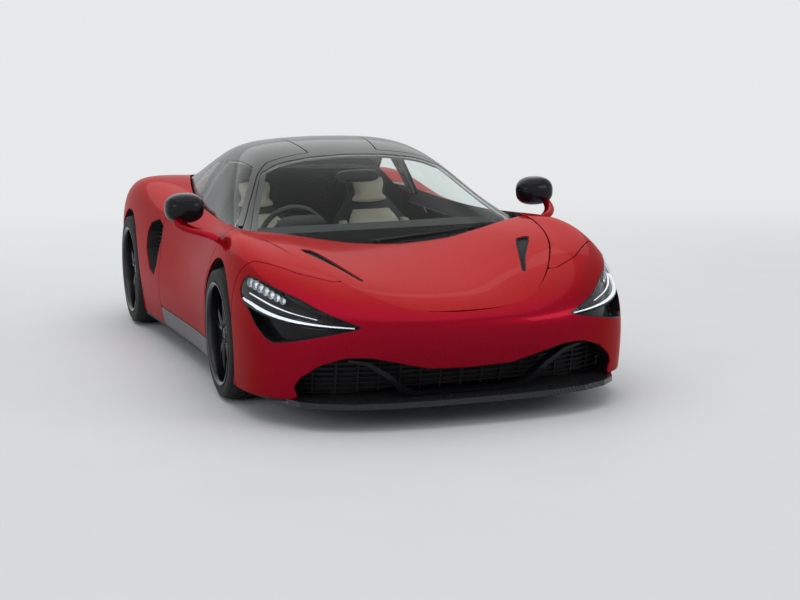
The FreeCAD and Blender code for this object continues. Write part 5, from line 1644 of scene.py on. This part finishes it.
def inflated(form, name):
    """The form as a mesh object, remeshed, swollen by air pressure, and smoothed."""
    made = mesh_object(name, form.points / 1000, form.faces, 0.00005)
    remesh = made.modifiers.new("remesh", "REMESH")
    remesh.mode = "VOXEL"
    remesh.voxel_size = VOXEL
    apply_modifiers(made)
    rest = np.array([v.co for v in made.data.vertices])
    cloth = made.modifiers.new("cloth", "CLOTH")
    cloth.settings.use_pressure = True
    cloth.settings.uniform_pressure_force = PRESSURE
    cloth.settings.effector_weights.gravity = 0.0
    cloth.settings.quality = 4
    cloth.point_cache.frame_start = 1
    cloth.point_cache.frame_end = MOMENTS
    for moment in range(1, MOMENTS + 1):
        scene.frame_set(moment)
    apply_modifiers(made)
    swollen = np.array([v.co for v in made.data.vertices])
    step = swollen - rest
    far = np.linalg.norm(step, axis=1, keepdims=True)
    step *= np.minimum(1.0, SWELL_CAP / np.maximum(far, 1e-9))
    made.data.vertices.foreach_set("co", (rest + step).ravel())
    scene.frame_set(1)
    smooth = made.modifiers.new("smooth", "SMOOTH")
    smooth.factor = 0.5
    smooth.iterations = 6
    fine = made.modifiers.new("fine", "SUBSURF")
    fine.levels = 1
    return apply_modifiers(made)


def sewn(made, depth_at):
    """Presses seams into a pad: depth_at gives how deep, in metres, at points in metres."""
    mesh = made.data
    points = np.array([v.co for v in mesh.vertices])
    normals = np.array([v.normal for v in mesh.vertices])
    mesh.vertices.foreach_set("co", (points - normals * depth_at(points)[:, None]).ravel())
    mesh.update()
    mesh.shade_smooth()
    return made


def groove(distance, width=0.006, depth=0.005):
    """The depth of a soft seam, deepest where this distance is zero."""
    return depth * np.exp(-(distance / width) ** 2)


print("Pads swell by up to", SWELL_CAP * 1000, "mm")

# %% [markdown]
# The pads' sizes come from the seat's outline seen from the front: narrow at the head and widest at the
# lower back. The pads of the back and the head are level slices that follow this outline, two wings hold
# the sitter at the sides, and the squab is a row of upright slices. Both seats are alike, so only the
# left one is drawn.

# %% The pads of the left seat
SEAT_Y = 350.0
# Height and half width of the seat
SEAT_FRONT = [(0, 200), (330, 205), (420, 232), (560, 236), (690, 214), (770, 150), (830, 112), (900, 118),
              (962, 96)]
BACK_HEIGHTS = [325, 500, 690, 760, 890, 940]


def half_width(z):
    return np.interp(z, *np.array(SEAT_FRONT).T)


def back_front(z):
    return np.interp(z, BACK_HEIGHTS, [-296, -345, -408, -492, -514, -530])


def back_depth(z):
    return np.interp(z, BACK_HEIGHTS, [92, 94, 84, 44, 54, 54])


def back_form(low, high, inset, share=1.0, widest=300.0, rows=14, columns=9):
    """A pad against the seat's back, as level slices that follow the seat's outline."""
    loops = []
    for z in np.linspace(low, high, rows):
        w = (min(half_width(z), widest) - inset) * share
        x, deep = back_front(z), back_depth(z)
        front_line = [(x - 16 * (abs(t) ** 3), SEAT_Y + w * t, z) for t in np.linspace(-1, 1, columns)]
        rear_line = [(x - deep, SEAT_Y + w * t, z) for t in np.linspace(1, -1, columns)]
        loops.append(front_line + rear_line)
    return rings(loops)


# Across, as a share of the half width, and height over the squab's top
SQUAB_TOP = ((1.0, 8), (0.72, 6), (0.4, -8), (0.0, -10), (-0.4, -8), (-0.72, 6), (-1.0, 8))
WING_FRONT = ((0.99, 0.2), (0.96, 0.8), (0.88, 0.7), (0.83, 0.1))
squab_loops = []
for share in np.linspace(0, 1, 12):
    x = 180 - share * 455
    top = np.interp(share, [0, 0.12, 0.5, 1], [312, 334, 316, 292])
    low = np.interp(share, [0, 1], [238, 212])
    w = np.interp(share, [0, 0.15, 1], [160, 172, 172])
    squab_loops.append([(x, SEAT_Y - w, low), (x, SEAT_Y + w, low)]
                       + [(x, SEAT_Y + w * across, top + rise) for across, rise in SQUAB_TOP])
PADS = {
    "seat_squab": rings(squab_loops),
    "seat_back": back_form(338, 745, 22.0, 0.80),
    "seat_head": back_form(776, 932, 18.0, widest=126.0),
}
for side_name, way in (("inner", -1), ("outer", 1)):
    wing_loops = []
    for z in np.linspace(345, 690, 12):
        w = half_width(z) - 10
        x = back_front(z)
        swell = 46 * sin(pi * (z - 300) / 430)
        back_edge = [(x - 74, SEAT_Y + way * w * t, z) for t in (0.84, 0.98)]
        wing_loops.append(back_edge + [(x + swell * b, SEAT_Y + way * w * t, z) for t, b in WING_FRONT])
    PADS["seat_wing_" + side_name] = rings(wing_loops)
print("Pads:", len(PADS))

# %% [markdown]
# After the stuffing come the seams, because the remesh would have wiped them out: a long seam beside the
# middle field of the squab and of the back, and sewn channels across it. They are pressed in along the
# pad's own normals, and then the mesh is thinned, since a smooth pad needs fewer faces than the
# simulation does.

# %% Stuff, sew and mirror the pads
THINNED = 0.4


def off_middle(points):
    """How far points in metres lie from the seat's middle line."""
    return np.abs(points[:, 1] - SEAT_Y / 1000)


def squab_seams(points):
    """A seam on each side of the middle field, and channels across it."""
    beside, pitch = off_middle(points), 0.075
    across = groove((points[:, 0] + 0.22) % pitch - pitch / 2, 0.005, 0.004)
    return groove(beside - 0.118) + np.where(beside < 0.118, across, 0.0)


def back_seams(points):
    """A seam on each side of the middle field, and level channels between two heights."""
    low, high, pitch = 0.36, 0.72, 0.06
    beside, z = off_middle(points), points[:, 2]
    level = groove(np.abs((z - low) % pitch - pitch / 2), 0.005, 0.004)
    return groove(beside - 0.120) + np.where((z > low) & (z < high) & (beside < 0.13), level, 0.0)


SEAMS = {"seat_squab": squab_seams, "seat_back": back_seams,
         "seat_head": lambda points: groove(np.abs(points[:, 2] - 0.79), 0.005, 0.003)}
for name, form in PADS.items():
    left = inflated(form, name + "_left")
    if name in SEAMS:
        sewn(left, SEAMS[name])
    fewer = left.modifiers.new("fewer", "DECIMATE")
    fewer.ratio = THINNED
    apply_modifiers(left)
    left.data.shade_smooth()
    right = bpy.data.objects.new(name + "_right", left.data.copy())
    scene.collection.objects.link(right)
    right.data.transform(Matrix.Diagonal((1, -1, 1, 1)))
    right.data.flip_normals()
    for pad in (left, right):
        finish_piece(pad, "body", cream_leather, ["seat_cushions"])
    print(name, len(left.data.polygons), "faces")

# %% [markdown]
# ## Studio, light and camera
# A car is photographed in a hall whose floor runs into the wall without an edge. A curved wall would cast
# light on the car, so here the floor keeps the car's shadow near it and fades into a plain pale backdrop
# further out. Metal and glass show the same backdrop, and everything else doesn't, so it adds no light.

# %% Pale floor that fades into the backdrop
BACKDROP = (0.80, 0.81, 0.82)
SEEN_BY = ("Is Camera Ray", "Is Glossy Ray", "Is Transmission Ray")
HALL = 90.0


def studio_floor():
    corners = [(-HALL, -HALL, 0), (HALL, -HALL, 0), (HALL, HALL, 0), (-HALL, HALL, 0)]
    made = mesh_object("studio_floor", corners, [(0, 1, 2, 3)])
    finish = Finish("pale_floor", specular=0.2)
    speckle = finish.noise(2.0, 6.0)
    finish.set(base_color=finish.blend(speckle, (0.76, 0.76, 0.76), (0.81, 0.81, 0.81)))
    finish.set(roughness=finish.between(0.6, 0.75, speckle))
    x, y = finish.axes()[:2]
    reach = (x * x + y * y).root()
    fade = finish.node("ShaderNodeMapRange", {"interpolation_type": "SMOOTHSTEP"},
                       {"Value": reach, "From Min": 3.4, "From Max": 10.0})
    rays = [finish.node("ShaderNodeLightPath", {}, {}, ray) for ray in SEEN_BY]
    seen = rays[0].or_more(rays[1].or_more(rays[2]))
    backdrop = finish.node("ShaderNodeEmission", {}, {"Color": BACKDROP, "Strength": 1.0})
    mixed = finish.node("ShaderNodeMixShader", {}, {0: fade * seen, 2: backdrop})
    finish.tree.links.new(finish.shader.outputs[0], mixed.socket.node.inputs[1])
    finish.tree.links.new(mixed.socket, finish.tree.nodes["Material Output"].inputs["Surface"])
    made.data.materials.append(finish.material)
    return made


studio_floor()
print("Floor ready")

# %% [markdown]
# The world gives a little soft sky light to the surfaces, so that no shadow is black. To the camera, and
# in mirrors and glass, it shows the backdrop's colour instead, at a strength of 1.

# %% The world: soft light, and the same backdrop for the camera, metal and glass
world = bpy.data.worlds.new("pale_world")
scene.world = world
world.use_nodes = True
tree = world.node_tree
soft = tree.nodes["Background"]
soft.inputs["Color"].default_value = (0.90, 0.95, 1.0, 1.0)
soft.inputs["Strength"].default_value = 0.55
white = tree.nodes.new("ShaderNodeBackground")
white.inputs["Color"].default_value = (*BACKDROP, 1.0)
white.inputs["Strength"].default_value = 1.0
rays = tree.nodes.new("ShaderNodeLightPath")
seen = rays.outputs[SEEN_BY[0]]
for ray in SEEN_BY[1:]:
    either = tree.nodes.new("ShaderNodeMath")
    either.operation = "MAXIMUM"
    tree.links.new(seen, either.inputs[0])
    tree.links.new(rays.outputs[ray], either.inputs[1])
    seen = either.outputs[0]
choose = tree.nodes.new("ShaderNodeMixShader")
tree.links.new(seen, choose.inputs["Fac"])
tree.links.new(soft.outputs["Background"], choose.inputs[1])
tree.links.new(white.outputs["Background"], choose.inputs[2])
tree.links.new(choose.outputs["Shader"], tree.nodes["World Output"].inputs["Surface"])
print("World ready")

# %% [markdown]
# Small lamps would leave hard bright dots on lacquer. Two very large soft ones hang overhead and behind
# the car, so that long even highlights run over its roof and tail, and two smaller ones ahead lift the
# nose and the lamps. They are weak enough that a colour renders about as it is written.

# %% Soft lamps
LAMPS = {
    # name: place, aim, size, watts
    "overhead": ((-0.5, 0.0, 7.5), (-0.5, 0.0, 0.0), (13.0, 9.0), 260.0),
    "front_left": ((7.0, 6.0, 3.6), (1.0, 0.0, 0.5), (4.5, 2.5), 90.0),
    "front_right": ((6.0, -7.0, 3.0), (1.0, 0.0, 0.5), (4.0, 2.2), 60.0),
    "rear": ((-8.0, 1.0, 5.5), (-1.0, 0.0, 0.6), (12.0, 5.0), 150.0),
}
for name, (place, aim, size, watts) in LAMPS.items():
    lamp = bpy.data.lights.new(name, "AREA")
    lamp.shape = "RECTANGLE"
    lamp.size, lamp.size_y = size
    lamp.energy = watts
    holder = bpy.data.objects.new(name, lamp)
    holder.location = place
    holder.rotation_euler = (Vector(aim) - Vector(place)).to_track_quat("-Z", "Y").to_euler()
    scene.collection.objects.link(holder)
print("Lamps:", len(LAMPS))

# %% [markdown]
# The camera stands where the photograph was taken, worked out from the wheels, lamps and roof of the car:
# nine and a half metres ahead of its middle and at the height of a standing person's eyes. The view
# direction and the two directions across it come from its yaw, pitch and roll.

# %% The photograph's camera
YAW, PITCH, ROLL = radians(162.725), radians(-8.1185), radians(-1.386)
EYE = (9.5226, -2.6355, 1.6927)
forward = Vector((cos(YAW) * cos(PITCH), sin(YAW) * cos(PITCH), sin(PITCH)))
level_right = forward.cross(Vector((0, 0, 1))).normalized()
level_up = level_right.cross(forward)
right = level_right * cos(ROLL) + level_up * sin(ROLL)
up = level_up * cos(ROLL) - level_right * sin(ROLL)
camera = bpy.data.objects.new("camera", bpy.data.cameras.new("camera"))
rows = [(right[i], up[i], -forward[i], EYE[i]) for i in range(3)]
camera.matrix_world = Matrix(rows + [(0, 0, 0, 1)])
camera.data.sensor_width = 36.0
camera.data.lens = 78.46
camera.data.shift_x = 0.0079
camera.data.shift_y = -0.0034
scene.collection.objects.link(camera)
scene.camera = camera
scene.view_settings.view_transform = "Standard"
print("Camera at", EYE)
